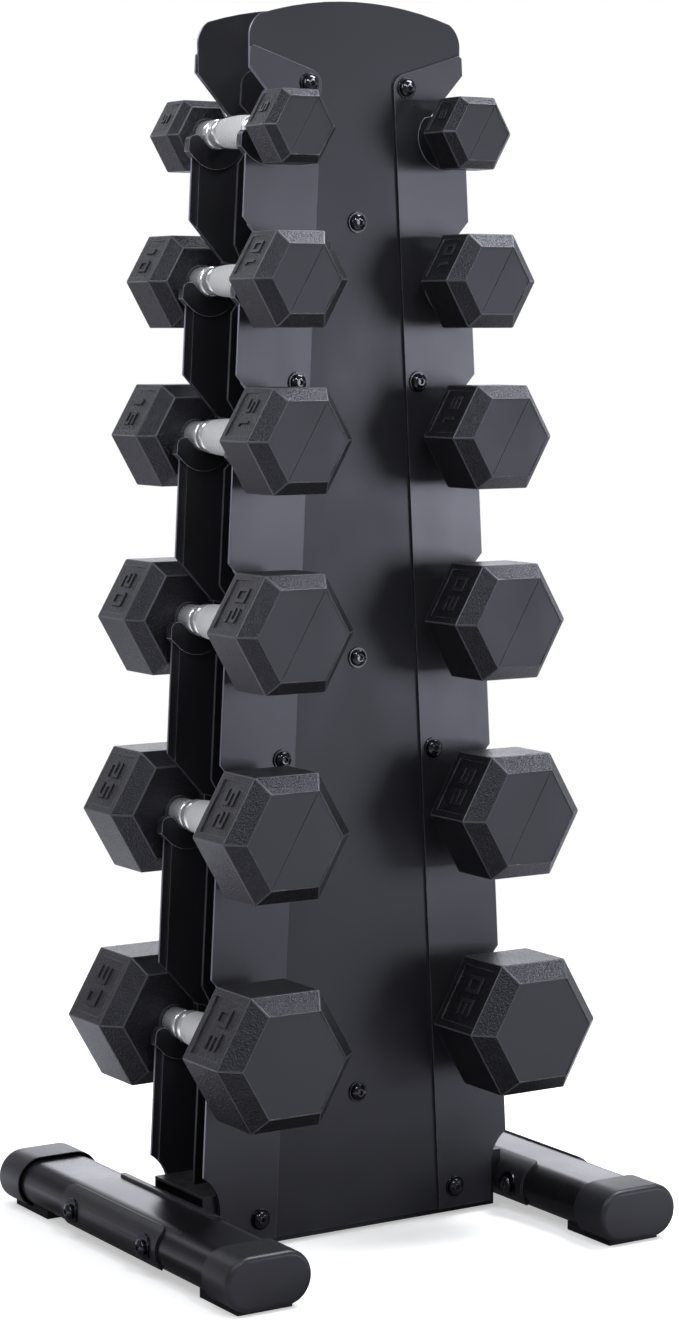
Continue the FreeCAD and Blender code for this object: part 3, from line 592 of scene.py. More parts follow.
# %% Worked copies
WORKED = [
    (("front_panel", "rear_panel"), PANEL_PAINT, 0.35, CUT_EDGE, None),
    (("front_left_upright", "front_right_upright"), UPRIGHT_PAINT, 0.4, CUT_EDGE, None),
    (("rear_left_upright", "rear_right_upright"), UPRIGHT_PAINT, 0.4, CUT_EDGE, None),
    (("spine_plate", "base_channel"), SPINE_PAINT_SHADED, 0.4, None, None),
    (("front_cradles", "rear_cradles"), CRADLE_PLASTIC, 0.6, None, CRADLE_RIM_HIGHLIGHT),
    (("left_foot_tube", "right_foot_tube"), FOOT_PAINT, 0.3, None, None),
    (("outer_clamps", "inner_clamps"), CLAMP_PAINT, 0.6, None, None),
    (("front_foot_caps", "rear_foot_caps"), CAP_PLASTIC, 0.5, None, None),
    (("foot_pads",), PAD_RUBBER, 0.6, None, None),
    (("spacer_bars", "face_nuts"), BOLT_BLACK, 0.4, None, None),
    (("face_washers", "clamp_washers"), WASHER_BLACK, 0.3, None, None),
]
for nodes, material, width, cut, rim in WORKED:
    for node in nodes:
        worked_copy(node, material, width * MM, cut, rim)
print("worked copies:", sum(len(row[0]) for row in WORKED))

# %% [markdown]
# ## Button-head bolts
# A button head is a low dome with a hexagonal socket. It is turned, so its form is a profile swept round
# its axis. A lathe could be a Screw modifier. Sweeping rings in bmesh lets the socket's hexagon grow
# straight out of the dome, and the same two helpers will turn the handles.

# %% Helpers: rings swept round an axis


def ring(bm, radius, depth, sides, place):
    """A ring of vertices at a distance along the Z axis of a place."""
    verts = []
    for i in range(sides):
        angle = 2 * math.pi * i / sides
        spot = Vector((radius * math.cos(angle), radius * math.sin(angle), depth))
        verts.append(bm.verts.new(place @ spot))
    return verts


def bridge(bm, first, second):
    """A band of four-sided faces between two rings."""
    count = len(first)
    for i in range(count):
        j = (i + 1) % count
        bm.faces.new((first[i], first[j], second[j], second[i]))


def seated(seat, outward):
    """The place of something that stands on seat, with its Z axis along outward."""
    return Matrix.Translation(seat) @ outward.to_track_quat("Z", "Y").to_matrix().to_4x4()


print("sweeping helpers: ring, bridge, seated")

# %% Helper: a domed head
HEAD_RADIUS = 7.3 * MM
HEAD_HEIGHT = 4.4 * MM
HEAD_LIP = 0.35 * MM            # the rim's small chamfer above the seat
LIP_NARROW = 0.97
HEAD_SIDES = 36
DOME_STEPS = 6
DOME_START = math.radians(10)
DOME_SWEEP = math.radians(62)
DOME_FOOT = 0.28                # share of the height at which the dome springs
SOCKET_FLATS = 4.6 * MM
SOCKET_DEPTH = 2.4 * MM
SOCKET_RIM = 0.72               # the dome ends at this share of the socket's flats
SOCKET_LIP = 0.99               # the socket's mouth lies at this share of the height
SIXTH = math.pi / 3


def add_button_head(bm, place):
    """One domed head with a hexagonal socket."""
    rings = [ring(bm, HEAD_RADIUS * LIP_NARROW, 0.0, HEAD_SIDES, place),
             ring(bm, HEAD_RADIUS, HEAD_LIP, HEAD_SIDES, place)]
    for k in range(DOME_STEPS + 1):
        angle = DOME_START + DOME_SWEEP * k / DOME_STEPS
        radius = HEAD_RADIUS * math.cos(angle) / math.cos(DOME_START)
        climb = math.sin(angle) / math.sin(DOME_START + DOME_SWEEP)
        rise = HEAD_HEIGHT * (DOME_FOOT + (1.0 - DOME_FOOT) * climb)
        rings.append(ring(bm, max(radius, SOCKET_FLATS * SOCKET_RIM), rise, HEAD_SIDES, place))
    for low, high in zip(rings, rings[1:]):
        bridge(bm, low, high)
    mouth = []
    for i in range(HEAD_SIDES):
        angle = 2 * math.pi * i / HEAD_SIDES
        across = SOCKET_FLATS / 2 / math.cos((angle + SIXTH / 2) % SIXTH - SIXTH / 2)
        mouth.append((across * math.cos(angle), across * math.sin(angle)))
    top = [bm.verts.new(place @ Vector((x, y, HEAD_HEIGHT * SOCKET_LIP))) for x, y in mouth]
    floor = [bm.verts.new(place @ Vector((x, y, HEAD_HEIGHT - SOCKET_DEPTH))) for x, y in mouth]
    bridge(bm, rings[-1], top)
    bridge(bm, top, floor)
    bm.faces.new(floor)
    bm.faces.new(list(reversed(rings[0])))


print("domed head:", HEAD_RADIUS / MM, "mm radius, socket", SOCKET_FLATS / MM, "mm across flats")

# %% [markdown]
# ## Where the bolts are
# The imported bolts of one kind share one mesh. Their places could be typed in again, but then a change to
# the rack would leave them behind. A walk from vertex to vertex along the edges finds each separate solid
# and its box.

# %% Helper: where the solids of a part are


def solids_of(node):
    """The two corners of the box round each separate solid in a node."""
    bm = bmesh.new()
    bm.from_mesh(frame["nodes"][node].data)
    bmesh.ops.remove_doubles(bm, verts=bm.verts, dist=WELD)
    waiting = set(bm.verts)
    found = []
    for first in bm.verts:
        if first not in waiting:
            continue
        waiting.discard(first)
        stack = [first]
        low = first.co.copy()
        high = first.co.copy()
        while stack:
            vert = stack.pop()
            low = Vector(map(min, low, vert.co))
            high = Vector(map(max, high, vert.co))
            for edge in vert.link_edges:
                other = edge.other_vert(vert)
                if other in waiting:
                    waiting.discard(other)
                    stack.append(other)
        found.append((low, high))
    bm.free()
    return found


print("solids in face_bolts:", len(solids_of("face_bolts")))

# %% Bolts in the faces and feet
X_AXIS = 0
Y_AXIS = 1
SHANK_RADIUS = 4.0 * MM
SHANK_SIDES = 20
SHANK_START = -0.02 * MM        # just under the head
LONGEST_SHANK = 60 * MM


def fastener_piece(node, axis, radius, sides, outwards=True):
    """Every bolt or nut of a node: a domed head at its outer or inner end, and a shank behind it."""
    bm = bmesh.new()
    for low, high in solids_of(node):
        sign = 1.0 if (abs(high[axis]) > abs(low[axis])) == outwards else -1.0
        outward = Vector((0.0, 0.0, 0.0))
        outward[axis] = sign
        seat = (low + high) / 2
        seat[axis] = (high[axis] if sign > 0 else low[axis]) - sign * HEAD_HEIGHT
        place = seated(seat, outward)
        add_button_head(bm, place)
        length = min(high[axis] - low[axis] - HEAD_HEIGHT, LONGEST_SHANK)
        near = ring(bm, radius, SHANK_START, sides, place)
        far = ring(bm, radius, -length, sides, place)
        bridge(bm, far, near)
        bm.faces.new(far)
        bm.faces.new(list(reversed(near)))
    piece = make_piece(node + "_turned", bm, "rack", [BOLT_BLACK])
    smooth_by_angle(piece, degrees=40)
    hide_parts(node)
    print(node, "turned:", len(piece.data.polygons), "faces")


fastener_piece("face_bolts", Y_AXIS, SHANK_RADIUS, SHANK_SIDES)
fastener_piece("clamp_bolts", X_AXIS, SHANK_RADIUS, SHANK_SIDES)

# %% [markdown]
# ## Sleeve nuts on the inside of the feet
# The nut that takes the long bolt has the same domed head, facing inwards, and a barrel that goes into the
# tube. It could have a function of its own, but it is the same form with a thicker shank and the head at
# the other end.

# %% Sleeve nuts
BARREL_RADIUS = 5.5 * MM
BARREL_SIDES = 24
fastener_piece("clamp_sleeve_nuts", X_AXIS, BARREL_RADIUS, BARREL_SIDES, outwards=False)

# %% [markdown]
# ## Handles
# A handle is one turned bar: a barrel grip that is fullest in the middle, a thin groove, a rounded ring, a
# second groove, and a collar that lies in the cradle. It could be stacked from cylinders, but their joins
# would show. A profile of radius against distance, swept round the axis, gives all of it in one skin, and
# the grip's faces take the knurled finish.

# %% Sizes of the handles, in millimetres
GRIP_GAP = 122.3                # clear between the two heads
SHAFT_STOP = 12.0               # the bar ends this far inside a head's outer face
LBS = (5, 10, 15, 20, 25, 30)
LENGTH = {5: 48.5, 10: 63.1, 15: 74.9, 20: 78.3, 25: 81.0, 30: 92.0}
GRIP_RADIUS = {5: 14.6, 10: 14.6, 15: 16.6, 20: 16.6, 25: 16.6, 30: 16.6}
DUMBBELLS = [(lb, "_" + str(lb) + "lb_" + side) for lb in LBS for side in ("left", "right")]


def axis_point(tag):
    """Where the handle's axis crosses the middle of the tower's depth."""
    low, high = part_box("handle" + tag)
    return Vector(((low.x + high.x) / 2, 0.0, (low.z + high.z) / 2))


print("dumbbells:", [tag[1:] for _, tag in DUMBBELLS])

# %% Handle profile
GRIP_HALF = 21.2
GRIP_STEPS = 7
GRIP_THINS = 1.2                # the barrel is this much thinner near its ends
GRIP_CURVE = 21.5
GROOVE = [(21.6, 1.7, True), (21.7, 2.6, False), (22.8, 2.6, False)]    # distance, depth, knurled
RING_MIDDLE = 28.4
RING_HALF = 5.4
RING_DROP = 1.4                 # the ring is this much smaller than the grip
RING_SWELL = 1.3
COLLAR = [(33.9, 12.6), (34.3, 12.2), (38.2, 12.2), (38.6, 12.9), (39.2, 13.2), (58.0, 13.2),
          (58.5, 12.9), (58.7, 12.5)]     # distance, radius


def handle_profile(grip, end):
    """(distance, radius, knurled) from the middle of the handle to one end, in millimetres."""
    profile = []
    for k in range(GRIP_STEPS + 1):
        y = GRIP_HALF * k / GRIP_STEPS
        profile.append((y, grip - GRIP_THINS * (y / GRIP_CURVE) ** 2, True))
    profile += [(y, grip - depth, knurled) for y, depth, knurled in GROOVE]
    for degrees in range(-60, 61, 20):
        angle = math.radians(degrees)
        swell = grip - RING_DROP - RING_SWELL + RING_SWELL * math.cos(angle)
        profile.append((RING_MIDDLE + RING_HALF * math.sin(angle), swell, False))
    profile += [(y, radius, False) for y, radius in COLLAR + [(end, COLLAR[-1][1])]]
    return profile


print("stations of a half handle:", len(handle_profile(GRIP_RADIUS[5], GRIP_GAP / 2)))

# %% Handles
HANDLE_SIDES = 48
ALONG_Y = Matrix.Rotation(math.radians(-90), 4, "X")


def handle_piece(lb, tag):
    """One handle, swept along Y from end to end."""
    half = handle_profile(GRIP_RADIUS[lb], GRIP_GAP / 2 + LENGTH[lb] - SHAFT_STOP)
    whole = [(-y, radius, knurled) for y, radius, knurled in reversed(half[1:])] + half
    bm = bmesh.new()
    rings = [ring(bm, radius * MM, y * MM, HANDLE_SIDES, ALONG_Y) for y, radius, _ in whole]
    for i in range(len(rings) - 1):
        bridge(bm, rings[i], rings[i + 1])
        knurled = whole[i][2] and whole[i + 1][2]
        for face in list(bm.faces)[-HANDLE_SIDES:]:
            face.material_index = 1 if knurled else 0
    bm.faces.new(rings[0])
    bm.faces.new(list(reversed(rings[-1])))
    finishes = [CHROME_TURNED, CHROME_KNURLED]
    piece = make_piece("handle_turned" + tag, bm, "dumbbell" + tag, finishes, axis_point(tag))
    smooth_by_angle(piece, degrees=38)
    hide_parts("handle" + tag)


for lb, tag in DUMBBELLS:
    handle_piece(lb, tag)
print("handles:", len(DUMBBELLS))

# %% [markdown]
# ## Heads
# A head is a hexagonal block with chamfered ends, larger for a heavier dumbbell. It could be a cylinder
# with six sides and a bevel, but the label window must sit exactly on its flank. So the block is built ring
# by ring from a few sizes per weight, and edge weights tell one bevel how round each edge is.

# %% Sizes of the heads, in millimetres
FLATS = {5: 63.2, 10: 82.7, 15: 91.5, 20: 102.4, 25: 109.7, 30: 117.3}
CHAMFER = {5: 8.9, 10: 11.1, 15: 14.0, 20: 14.4, 25: 14.5, 30: 16.4}
INSET = {5: 6.6, 10: 11.5, 15: 11.2, 20: 11.8, 25: 13.5, 30: 14.3}
BORDER = {5: 3.8, 10: 5.0, 15: 5.5, 20: 6.0, 25: 6.4, 30: 7.0}


def hex_ring(bm, flats, y):
    """Six corners round the Y axis, a size across flats."""
    radius = flats / math.sqrt(3)
    verts = []
    for i in range(6):
        angle = math.radians(60 * i)
        verts.append(bm.verts.new(Vector((radius * math.cos(angle), y, radius * math.sin(angle))) * MM))
    return verts


print("heads:", FLATS[5], "to", FLATS[30], "mm across flats")

# %% [markdown]
# ## The label window
# A shallow wedge is let into one flank, and the numerals stand in it. A Boolean could cut it, but would
# leave thin odd faces for the bevel to trip over. The flank is divided by hand instead, into a frame, three
# low walls and a sloping floor.

# %% Helper: the label window
LABEL_DEPTH = 1.1               # at the handle's end
LABEL_RUN_OUT = 1.5             # at the other end the floor meets the flank this far from the chamfer
WINDOW_EDGE = 0.3               # bevel weight of the window's rim


def window_in(bm, corners, border, weights):
    """Replace a flank by a frame and a wedge-shaped recess, deepest at the edge of corners 0 and 1."""
    origin = corners[0].co
    across = corners[1].co - origin
    along = corners[3].co - origin
    inward = -Vector((origin.x + corners[1].co.x, 0.0, origin.z + corners[1].co.z)).normalized()
    near = border * MM / along.length
    far = 1.0 - LABEL_RUN_OUT * MM / along.length
    side = border * MM / across.length
    spots = ((near, side), (near, 1.0 - side), (far, 1.0 - side), (far, side))
    rim = [bm.verts.new(origin + along * a + across * b) for a, b in spots]
    floor = [bm.verts.new(v.co + inward * LABEL_DEPTH * MM) for v in rim[:2]]
    for i in range(4):
        j = (i + 1) % 4
        bm.faces.new((corners[i], corners[j], rim[j], rim[i]))
    bm.faces.new((rim[0], rim[1], floor[1], floor[0]))
    bm.faces.new((rim[1], rim[2], floor[1]))
    bm.faces.new((rim[3], rim[0], floor[0]))
    bm.faces.new((floor[0], floor[1], rim[2], rim[3]))
    for a, b in ((rim[0], rim[1]), (rim[1], rim[2]), (rim[3], rim[0])):
        bm.edges.get((a, b))[weights] = WINDOW_EDGE


print("label window:", LABEL_DEPTH, "mm deep at the handle's end")

# %% [markdown]
# ## The outer face and its seam
# The two halves of the mould meet on a line that crosses the flat outer face from corner to corner. A dark
# line in the material would look painted on. A narrow V of real faces catches the light on one side, as the
# moulded one does.

# %% Helper: the outer face with its seam
SEAM_WIDTH = 0.9
SEAM_DEPTH = 0.7
SEAM_START = 2.5                # the seam starts this far inside a corner


def seamed_face(bm, corners, face, seam):
    """The flat end of a head; a moulding seam crosses it from corner to corner."""
    if not seam:
        return [bm.faces.new(corners)]
    start, stop = corners[1].co, corners[4].co
    line = (stop - start).normalized()
    aside = line.cross(Vector((0.0, 1.0, 0.0))) * SEAM_WIDTH / 2 * MM
    ends = (start + line * SEAM_START * MM, stop - line * SEAM_START * MM)
    left = [bm.verts.new(p + aside) for p in ends]
    right = [bm.verts.new(p - aside) for p in ends]
    low = [bm.verts.new(p - Vector((0.0, face * SEAM_DEPTH * MM, 0.0))) for p in ends]
    if (corners[2].co - start).dot(aside) < 0:
        left, right = right, left
    outlines = [(corners[1], corners[2], corners[3], corners[4], left[1], left[0]),
                (corners[4], corners[5], corners[0], corners[1], right[0], right[1]),
                (corners[1], left[0], right[0]),
                (corners[4], right[1], left[1]),
                (left[0], left[1], low[1], low[0]),
                (right[1], right[0], low[0], low[1]),
                (left[0], low[0], right[0]),
                (left[1], right[1], low[1])]
    return [bm.faces.new(outline) for outline in outlines]


print("seam:", SEAM_WIDTH, "mm wide,", SEAM_DEPTH, "mm deep")

# %% [markdown]
# ## One head, then all of them
# The rings are joined into chamfers and flanks, the label's flank is left open for its window, and the
# outer face is let in a little behind its rim, as a moulded face is. Both heads of a dumbbell could be
# separate objects. They move together and never come apart, so they are one piece, with a round boss at
# each root of the handle.

# %% Helper: one head
LABEL_FLANK = 2                 # the flank that faces left and a little up
FACE_STEP = 0.7                 # the outer face lies this deep inside its rim
STEP_TOP = 0.1
STEP_TAPER = 0.3
SHARP_RIM = 0.35                # bevel weight of the rim round the outer face
SEAMLESS = 30                   # the mould of this head leaves no seam


def add_head(bm, lb, face, weights):
    """A chamfered hexagonal block beyond the handle, on the side that face gives."""
    near = GRIP_GAP / 2
    far = near + LENGTH[lb]
    small = FLATS[lb] - 2 * INSET[lb]
    stations = [(near, small), (near + CHAMFER[lb], FLATS[lb]), (far - CHAMFER[lb], FLATS[lb]), (far, small)]
    rings = [hex_ring(bm, flats, face * y) for y, flats in stations]
    before = set(bm.edges)
    for index, (low, high) in enumerate(zip(rings, rings[1:])):
        for i in range(6):
            j = (i + 1) % 6
            if index == 1 and i == LABEL_FLANK:
                for a, b in ((low[i], low[j]), (high[i], high[j]), (low[i], high[i]), (low[j], high[j])):
                    if bm.edges.get((a, b)) is None:
                        bm.edges.new((a, b))
                continue
            bm.faces.new((low[i], low[j], high[j], high[i]))
    bm.faces.new(rings[0])
    for edge in set(bm.edges) - before:
        edge[weights] = 1.0
    for edge in {e for v in rings[-1] for e in v.link_edges if e.other_vert(v) in rings[-1]}:
        edge[weights] = SHARP_RIM
    inner = small - 2 * FACE_STEP
    step = hex_ring(bm, inner, face * (far - STEP_TOP))
    sunk = hex_ring(bm, inner - STEP_TAPER, face * (far - FACE_STEP))
    bridge(bm, rings[-1], step)
    bridge(bm, step, sunk)
    for plane in seamed_face(bm, sunk, face, lb != SEAMLESS):
        plane.material_index = 1
    i, j = LABEL_FLANK, LABEL_FLANK + 1
    window_in(bm, (rings[1][i], rings[1][j], rings[2][j], rings[2][i]), BORDER[lb], weights)


print("outer face:", FACE_STEP, "mm inside its rim")

# %% Heads
FRONT = -1
REAR = 1
BOSS = [(61.4, 15.0), (59.6, 15.0), (59.2, 14.6), (59.1, 12.7), (61.4, 12.7)]   # distance, radius
BOSS_SIDES = 40
EDGE_ROUND = 0.9                # for an edge of full weight


def heads_piece(lb, tag):
    """Both heads of a dumbbell, each with a round boss of rubber at the root of the handle."""
    bm = bmesh.new()
    weights = bm.edges.layers.float.new("bevel_weight_edge")
    for face in (FRONT, REAR):
        add_head(bm, lb, face, weights)
        rings = [ring(bm, radius * MM, face * y * MM, BOSS_SIDES, ALONG_Y) for y, radius in BOSS]
        for low, high in zip(rings, rings[1:]):
            bridge(bm, low, high)
    finishes = [RUBBER_PEBBLED, RUBBER_SMOOTH, RUBBER_EDGE_HIGHLIGHT]
    piece = make_piece("heads_moulded" + tag, bm, "dumbbell" + tag, finishes, axis_point(tag))
    smooth_by_angle(piece, degrees=25)
    # the bevel's faces take the rubber with the painted highlight
    round_edges(piece, EDGE_ROUND * MM, 3, by_weight=True, edge_slot=2)
    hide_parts("coats" + tag)


for lb, tag in DUMBBELLS:
    heads_piece(lb, tag)
print("heads:", 2 * len(DUMBBELLS), "edge round", EDGE_ROUND, "mm")

# %% [markdown]
# ## Weight numerals
# Plain square numerals stand up from the floor of each label window, with their tops towards the handle. A
# text object could make them, but a mould cutter's squared figures are simpler to build: each is a small
# grid of cells. The cells in use are joined, raised as one block, and only its upright outer corners are
# rounded.

# %% Shapes and sizes of the numerals, in millimetres
FIGURES = {
    "0": ("###", "#.#", "#.#", "#.#", "###"),
    "1": ("##", ".#", ".#", ".#", ".#"),
    "2": ("###", "..#", "###", "#..", "###"),
    "3": ("###", "..#", "###", "..#", "###"),
    "5": ("###", "#..", "###", "..#", "###"),
}
COLUMNS = {3: (3.9, 8.6, 3.9), 2: (3.6, 3.9)}   # cell widths of a figure with three or two columns
LINES = (3.4, 4.9, 3.4, 4.9, 3.4)
FIGURE_PITCH = 22.0
FIGURE_ROUND = 1.3
FIGURE_RISE = 1.2
FIGURE_BURIED = 0.1
FIGURE_FLATS = 117.3            # these sizes are for this head, and shrink with the smaller ones


def edges_of(sizes):
    """Running positions of a row of cells, centred on zero."""
    places = [-sum(sizes) / 2]
    for size in sizes:
        places.append(places[-1] + size)
    return places


print("figure:", round(sum(COLUMNS[3]), 1), "mm wide,", round(sum(LINES), 1), "mm high")

# %% Helper: one raised figure


def add_figure(bm, figure, offset, place, scale):
    """One numeral as a raised block; place maps (across, up, out) to the head."""
    rows = FIGURES[figure]
    across = edges_of(COLUMNS[len(rows[0])])
    up = edges_of(LINES)
    block = bmesh.new()
    for r, row in enumerate(rows):
        for c, cell in enumerate(row):
            if cell == "#":
                spots = ((c, r), (c + 1, r), (c + 1, r + 1), (c, r + 1))
                block.faces.new([block.verts.new((across[i], -up[j], 0.0)) for i, j in spots])
    bmesh.ops.remove_doubles(block, verts=block.verts, dist=0.01)
    raised = bmesh.ops.extrude_face_region(block, geom=block.faces[:])
    moved = [v for v in raised["geom"] if isinstance(v, bmesh.types.BMVert)]
    bmesh.ops.translate(block, verts=moved, vec=(0.0, 0.0, FIGURE_RISE))
    bmesh.ops.recalc_face_normals(block, faces=block.faces)
    upright = [e for e in block.edges if abs(e.verts[0].co.z - e.verts[1].co.z) > FIGURE_RISE / 2]
    corners = [e for e in upright if e.calc_face_angle(0.0) > 1.0]
    bmesh.ops.bevel(block, geom=corners, offset=FIGURE_ROUND, segments=3, profile=0.5, affect="EDGES")
    made = {}
    for vert in block.verts:
        spot = Vector(((vert.co.x + offset) * scale, vert.co.y * scale, vert.co.z))
        made[vert] = bm.verts.new(place @ spot)
    for face in block.faces:
        bm.faces.new([made[v] for v in face.verts])
    block.free()


print("figures rise", FIGURE_RISE, "mm, with corners of", FIGURE_ROUND, "mm")

# %% Numerals
FLANK_OUT = Vector((-math.cos(math.radians(30)), 0.0, math.sin(math.radians(30))))
FIGURE_EDGE = 0.25 * MM


def numeral_piece(lb, tag):
    """The weight in figures on both label windows of a dumbbell."""
    text = str(lb)
    depth = LENGTH[lb] - 2 * CHAMFER[lb]
    middle = (BORDER[lb] + depth) / 2
    slope = LABEL_DEPTH / (depth - BORDER[lb] - LABEL_RUN_OUT)
    sunk = LABEL_DEPTH - slope * (middle - BORDER[lb])
    out = FLATS[lb] / 2 - sunk - FIGURE_BURIED
    bm = bmesh.new()
    for face in (FRONT, REAR):
        up = (Vector((0.0, -face, 0.0)) - FLANK_OUT * slope).normalized()
        read = up.cross(FLANK_OUT).normalized()
        place = (Matrix((read, up, FLANK_OUT)).transposed() * MM).to_4x4()
        from_middle = Vector((0.0, face * (GRIP_GAP / 2 + CHAMFER[lb] + middle), 0.0))
        place.translation = (FLANK_OUT * out + from_middle) * MM
        for k, figure in enumerate(text):
            offset = (k - (len(text) - 1) / 2) * FIGURE_PITCH
            add_figure(bm, figure, offset, place, FLATS[lb] / FIGURE_FLATS)
    piece = make_piece("numerals" + tag, bm, "dumbbell" + tag, [RUBBER_SMOOTH], axis_point(tag))
    round_edges(piece, FIGURE_EDGE, 2)


for lb, tag in DUMBBELLS:
    numeral_piece(lb, tag)
print("numerals:", 2 * len(DUMBBELLS))

# %% [markdown]
# ## Iron cores
# A block of cast iron inside each rubber head gives it its weight. The cores could be left out, since they
# never show, but they are parts of the model. They keep their packed form and get a rough cast finish.

# %% Iron cores
CAST_IRON = worn_finish("core_cast_iron", (0.05, 0.08, 0.2), 0.6, (500.0, 0.2))
for lb, tag in DUMBBELLS:
    core = frame["nodes"]["cores" + tag]
    core.data.materials.clear()
    core.data.materials.append(CAST_IRON)
print("cores:", len(DUMBBELLS))

# %% [markdown]
# ## Floor
# A product stands on a white sweep that has no visible end. The floor could be lit until it is white, but
# that light would wash out the dark paint. So the camera sees the floor glow a little near the feet, where
# it keeps its shadow, and turn plain white further out. Reflections see a glowing floor with a painted
# shadow under the tower, bright around it, that fades with distance and towards the front.

# %% Helpers: shaders and rays in a tree
WHITE = (1.0, 1.0, 1.0, 1.0)
COOL = (0.89, 0.89, 1.0, 1.0)


def glow(tree, strength, colour=WHITE):
    """Light given off by a surface; strength is a socket or a number."""
    node = tree.nodes.new("ShaderNodeEmission")
    node.inputs["Color"].default_value = colour
    feed(tree, strength, node.inputs["Strength"])
    return node.outputs[0]


def mix_shaders(tree, factor, first, second):
    """The first shader where factor is 0, the second where it is 1."""
    node = tree.nodes.new("ShaderNodeMixShader")
    for slot, source in enumerate((factor, first, second)):
        tree.links.new(source, node.inputs[slot])
    return node.outputs[0]


def rays(tree):
    """1 on rays from the camera, also through glass; and 1 on rays from a reflection."""
    path = tree.nodes.new("ShaderNodeLightPath").outputs
    direct = maths(tree, "MAXIMUM", path["Is Camera Ray"], path["Is Transmission Ray"])
    return direct, path["Is Glossy Ray"]


print("reflections of the studio are tinted", COOL[:3])

# %% Floor finish
FLOOR_WHITE = (0.85, 0.85, 0.85, 1.0)
FLOOR_GLOW = 0.44
WHITE_FROM = (0.7, 1.6)         # metres from the middle between which the camera's floor turns plain white
UNDER_TOWER = (0.28, 0.42)      # metres between which the mirrored floor goes from dim to bright
FLOOR_SHADE = 0.10
FLOOR_BRIGHT = 1.3
FADES = (0.7, 1.8)              # metres between which the mirrored floor fades
FLOOR_FAR = 0.35
FLOOR_FRONT = 0.65
TO_FRONT = (-0.2, 0.2)          # metres along Y between which it brightens from front to rear


def floor_finish():
    """Plain matt white, with one look for the camera and one for reflections."""
    material, tree, plain = new_material("studio_white")
    plain["Base Color"].default_value = FLOOR_WHITE
    plain["Roughness"].default_value = 0.8
    plain["Specular IOR Level"].default_value = 0.2
    matt = tree.nodes["Principled BSDF"].outputs[0]
    lit = tree.nodes.new("ShaderNodeAddShader")
    tree.links.new(matt, lit.inputs[0])
    tree.links.new(glow(tree, FLOOR_GLOW), lit.inputs[1])
    place = own_place(tree)
    far = measured(tree, "LENGTH", place)
    seen = mix_shaders(tree, spread(tree, far, *WHITE_FROM), lit.outputs[0], glow(tree, 1.0))
    # for reflections the floor glows, with a painted shadow where it lies under the tower
    shade = spread(tree, far, *UNDER_TOWER, FLOOR_SHADE, FLOOR_BRIGHT)
    fall = spread(tree, far, *FADES, 1.0, FLOOR_FAR)
    front = spread(tree, split(tree, place)[1], *TO_FRONT, FLOOR_FRONT, 1.0)
    shine = maths(tree, "MULTIPLY", maths(tree, "MULTIPLY", shade, fall), front)
    direct, mirrored = rays(tree)
    other = mix_shaders(tree, mirrored, matt, glow(tree, shine, COOL))
    picked = mix_shaders(tree, direct, other, seen)
    tree.links.new(picked, tree.nodes["Material Output"].inputs["Surface"])
    return material


print("the floor turns plain white between", WHITE_FROM, "m from the middle")

# %% Floor
FLOOR_HALF = 9.0


def floor_piece():
    """One large square, no part of the tower."""
    bm = bmesh.new()
    corners = [(x * FLOOR_HALF, y * FLOOR_HALF, 0.0) for x, y in ((-1, -1), (1, -1), (1, 1), (-1, 1))]
    bm.faces.new([bm.verts.new(corner) for corner in corners])
    mesh = bpy.data.meshes.new("studio_floor")
    bm.to_mesh(mesh)
    bm.free()
    mesh.materials.append(floor_finish())
    floor = add_to_scene("studio_floor", mesh)


floor_piece()
print("floor:", 2 * FLOOR_HALF, "m square")

# %% [markdown]
# ## World
# Dark glossy paint is seen by what it mirrors. An image of a studio could light it. A plain world that
# knows its rays is easier to steer: white to the camera, one even level for soft light, and for reflections
# a white sweep that stands behind the tower in a dimmer room.

# %% World
WORLD_LIGHT = 0.50
STUDIO_ROUND = 0.18
SWEEP = (0.54, 0.84, 0.0)       # the white sweep stands in this direction
SWEEP_LEAN = 1.5                # it stands lower the further round from there
SWEEP_EDGE = (0.05, 0.40)       # the range over which its edge is blurred


def blend_number(tree, factor, first, second):
    """The same blend for two numbers."""
    return blend(tree, factor, first, second, "FLOAT", "VALUE")


def studio_world():
    """White to the camera; to reflections a white sweep behind, and a dimmer studio above and around."""
    world = bpy.data.worlds.new("studio")
    bpy.context.scene.world = world
    world.use_nodes = True
    tree = world.node_tree
    back = tree.nodes["Background"].inputs
    direction = tree.nodes.new("ShaderNodeTexCoord").outputs["Generated"]
    lowered = maths(tree, "MULTIPLY", split(tree, direction)[2], SWEEP_LEAN)
    reach = maths(tree, "SUBTRACT", measured(tree, "DOT_PRODUCT", direction, SWEEP), lowered)
    shown = spread(tree, reach, *SWEEP_EDGE, STUDIO_ROUND, 1.0)
    direct, mirrored = rays(tree)
    level = blend_number(tree, mirrored, WORLD_LIGHT, shown)
    tree.links.new(blend_number(tree, direct, level, 1.0), back["Strength"])
    tree.links.new(blend(tree, mirrored, WHITE, COOL), back["Color"])


studio_world()
bpy.context.scene.view_settings.view_transform = "Standard"
print("world light:", WORLD_LIGHT)

# %% [markdown]
# ## Lamps
# Seven soft boxes light the tower. One to the right front makes the broad sheen on the painted face, one
# above lights every chamfer that faces up, one to the left lights the flanks with the numerals, a small one
# high in front gives the bright spots, and those behind draw the edges. Point lamps would be quicker, but
# gloss shows the shape of its lamp, and a real studio's are large and square.

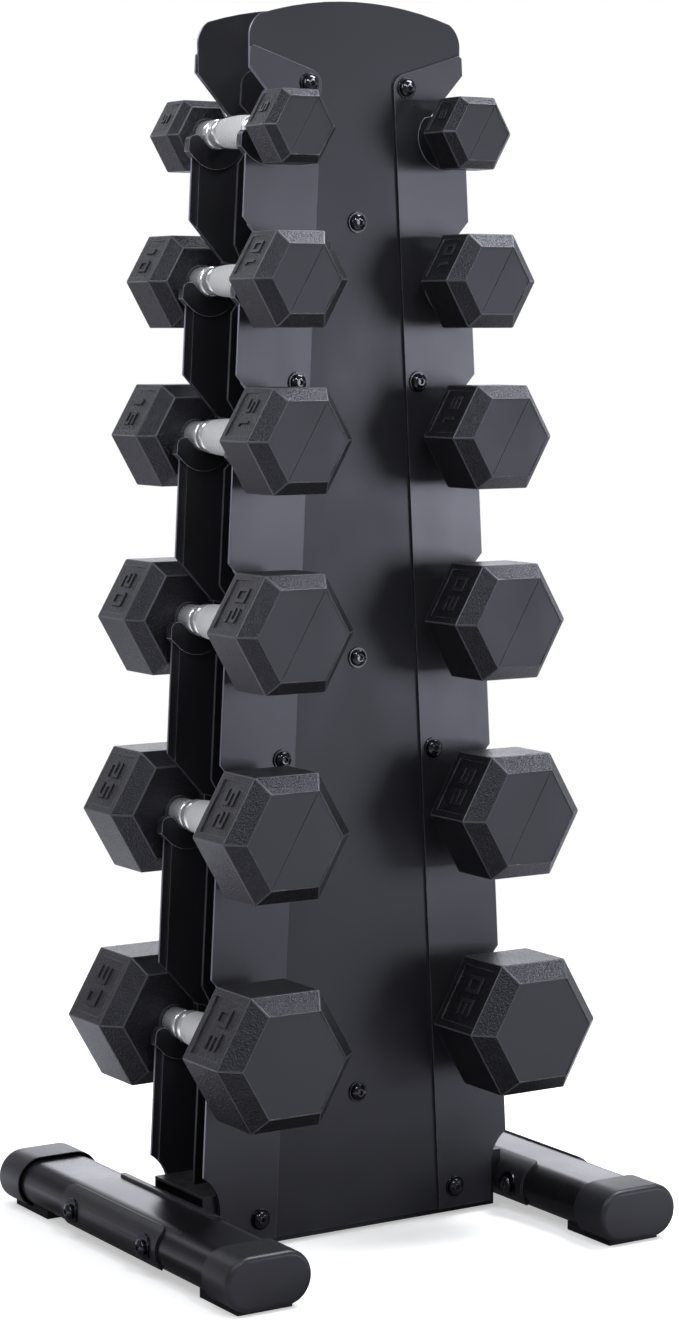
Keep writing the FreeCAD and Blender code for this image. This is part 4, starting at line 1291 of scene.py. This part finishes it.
# %% Lamps
LAMP_COLOUR = (0.93, 0.955, 1.0)
LAMPS = {       # name: place, aim, (width, height), watts
    "lamp_right_front": ((2.25, -2.9, 0.55), (0.0, 0.0, 0.5), (1.4, 1.2), 31.0),
    "lamp_top": ((1.15, -0.35, 2.6), (0.0, 0.0, 0.6), (1.2, 1.2), 70.0),
    "lamp_behind": ((1.7, 3.0, 1.0), (0.0, 0.0, 0.3), (2.0, 0.9), 14.0),
    "lamp_back_left": ((-0.36, 0.80, 1.50), (-0.12, -0.1, 0.97), (0.35, 0.35), 1.25),
    "lamp_back_left_low": ((-0.42, 0.84, 0.86), (-0.15, 0.0, 0.35), (0.30, 0.45), 0.55),
    "lamp_left": ((-1.03, -0.46, 1.55), (-0.12, -0.12, 0.80), (0.45, 0.85), 7.5),
    "lamp_key": ((-0.6, -2.7, 2.6), (0.0, 0.0, 0.6), (0.5, 0.5), 26.0),
}


def point_at(item, place, direction):
    """Put a lamp or a camera at a place, looking in a direction."""
    item.location = place
    item.rotation_euler = direction.to_track_quat("-Z", "Y").to_euler()


def soft_lamp(name, place, aim, size, watts):
    """A rectangular soft box that the camera doesn't see."""
    lamp = bpy.data.lights.new(name, "AREA")
    lamp.shape = "RECTANGLE"
    lamp.size, lamp.size_y = size
    lamp.energy = watts
    lamp.color = LAMP_COLOUR
    holder = add_to_scene(name, lamp)
    holder.visible_camera = False
    point_at(holder, place, Vector(aim) - Vector(place))


for name, values in LAMPS.items():
    soft_lamp(name, *values)
print("lamps:", len(LAMPS))

# %% [markdown]
# ## Camera
# A long lens looks from the front left, above the middle of the tower and slightly down. The camera could
# be turned until the tower fills the frame, but that would make the uprights converge more. A small shift
# moves the frame instead, the way a view camera's rise and fall would.

# %% Camera
CAMERA_PLACE = Vector((-1.5143, -2.4658, 0.8055))
CAMERA_LOOK = Vector((0.5403, 0.8391, -0.0642))
SENSOR = 36.0           # millimetres, as is the lens
LENS = 87.47
SHIFT = (-0.0444, -0.0888)


def studio_camera():
    """The camera of the scene."""
    data = bpy.data.cameras.new("camera")
    data.sensor_width = SENSOR
    data.sensor_fit = "AUTO"
    data.lens = LENS
    data.shift_x, data.shift_y = SHIFT
    data.clip_end = 60.0
    camera = add_to_scene("camera", data)
    point_at(camera, CAMERA_PLACE, CAMERA_LOOK)
    bpy.context.scene.camera = camera


studio_camera()
print("camera: lens", LENS, "mm, shift", SHIFT)
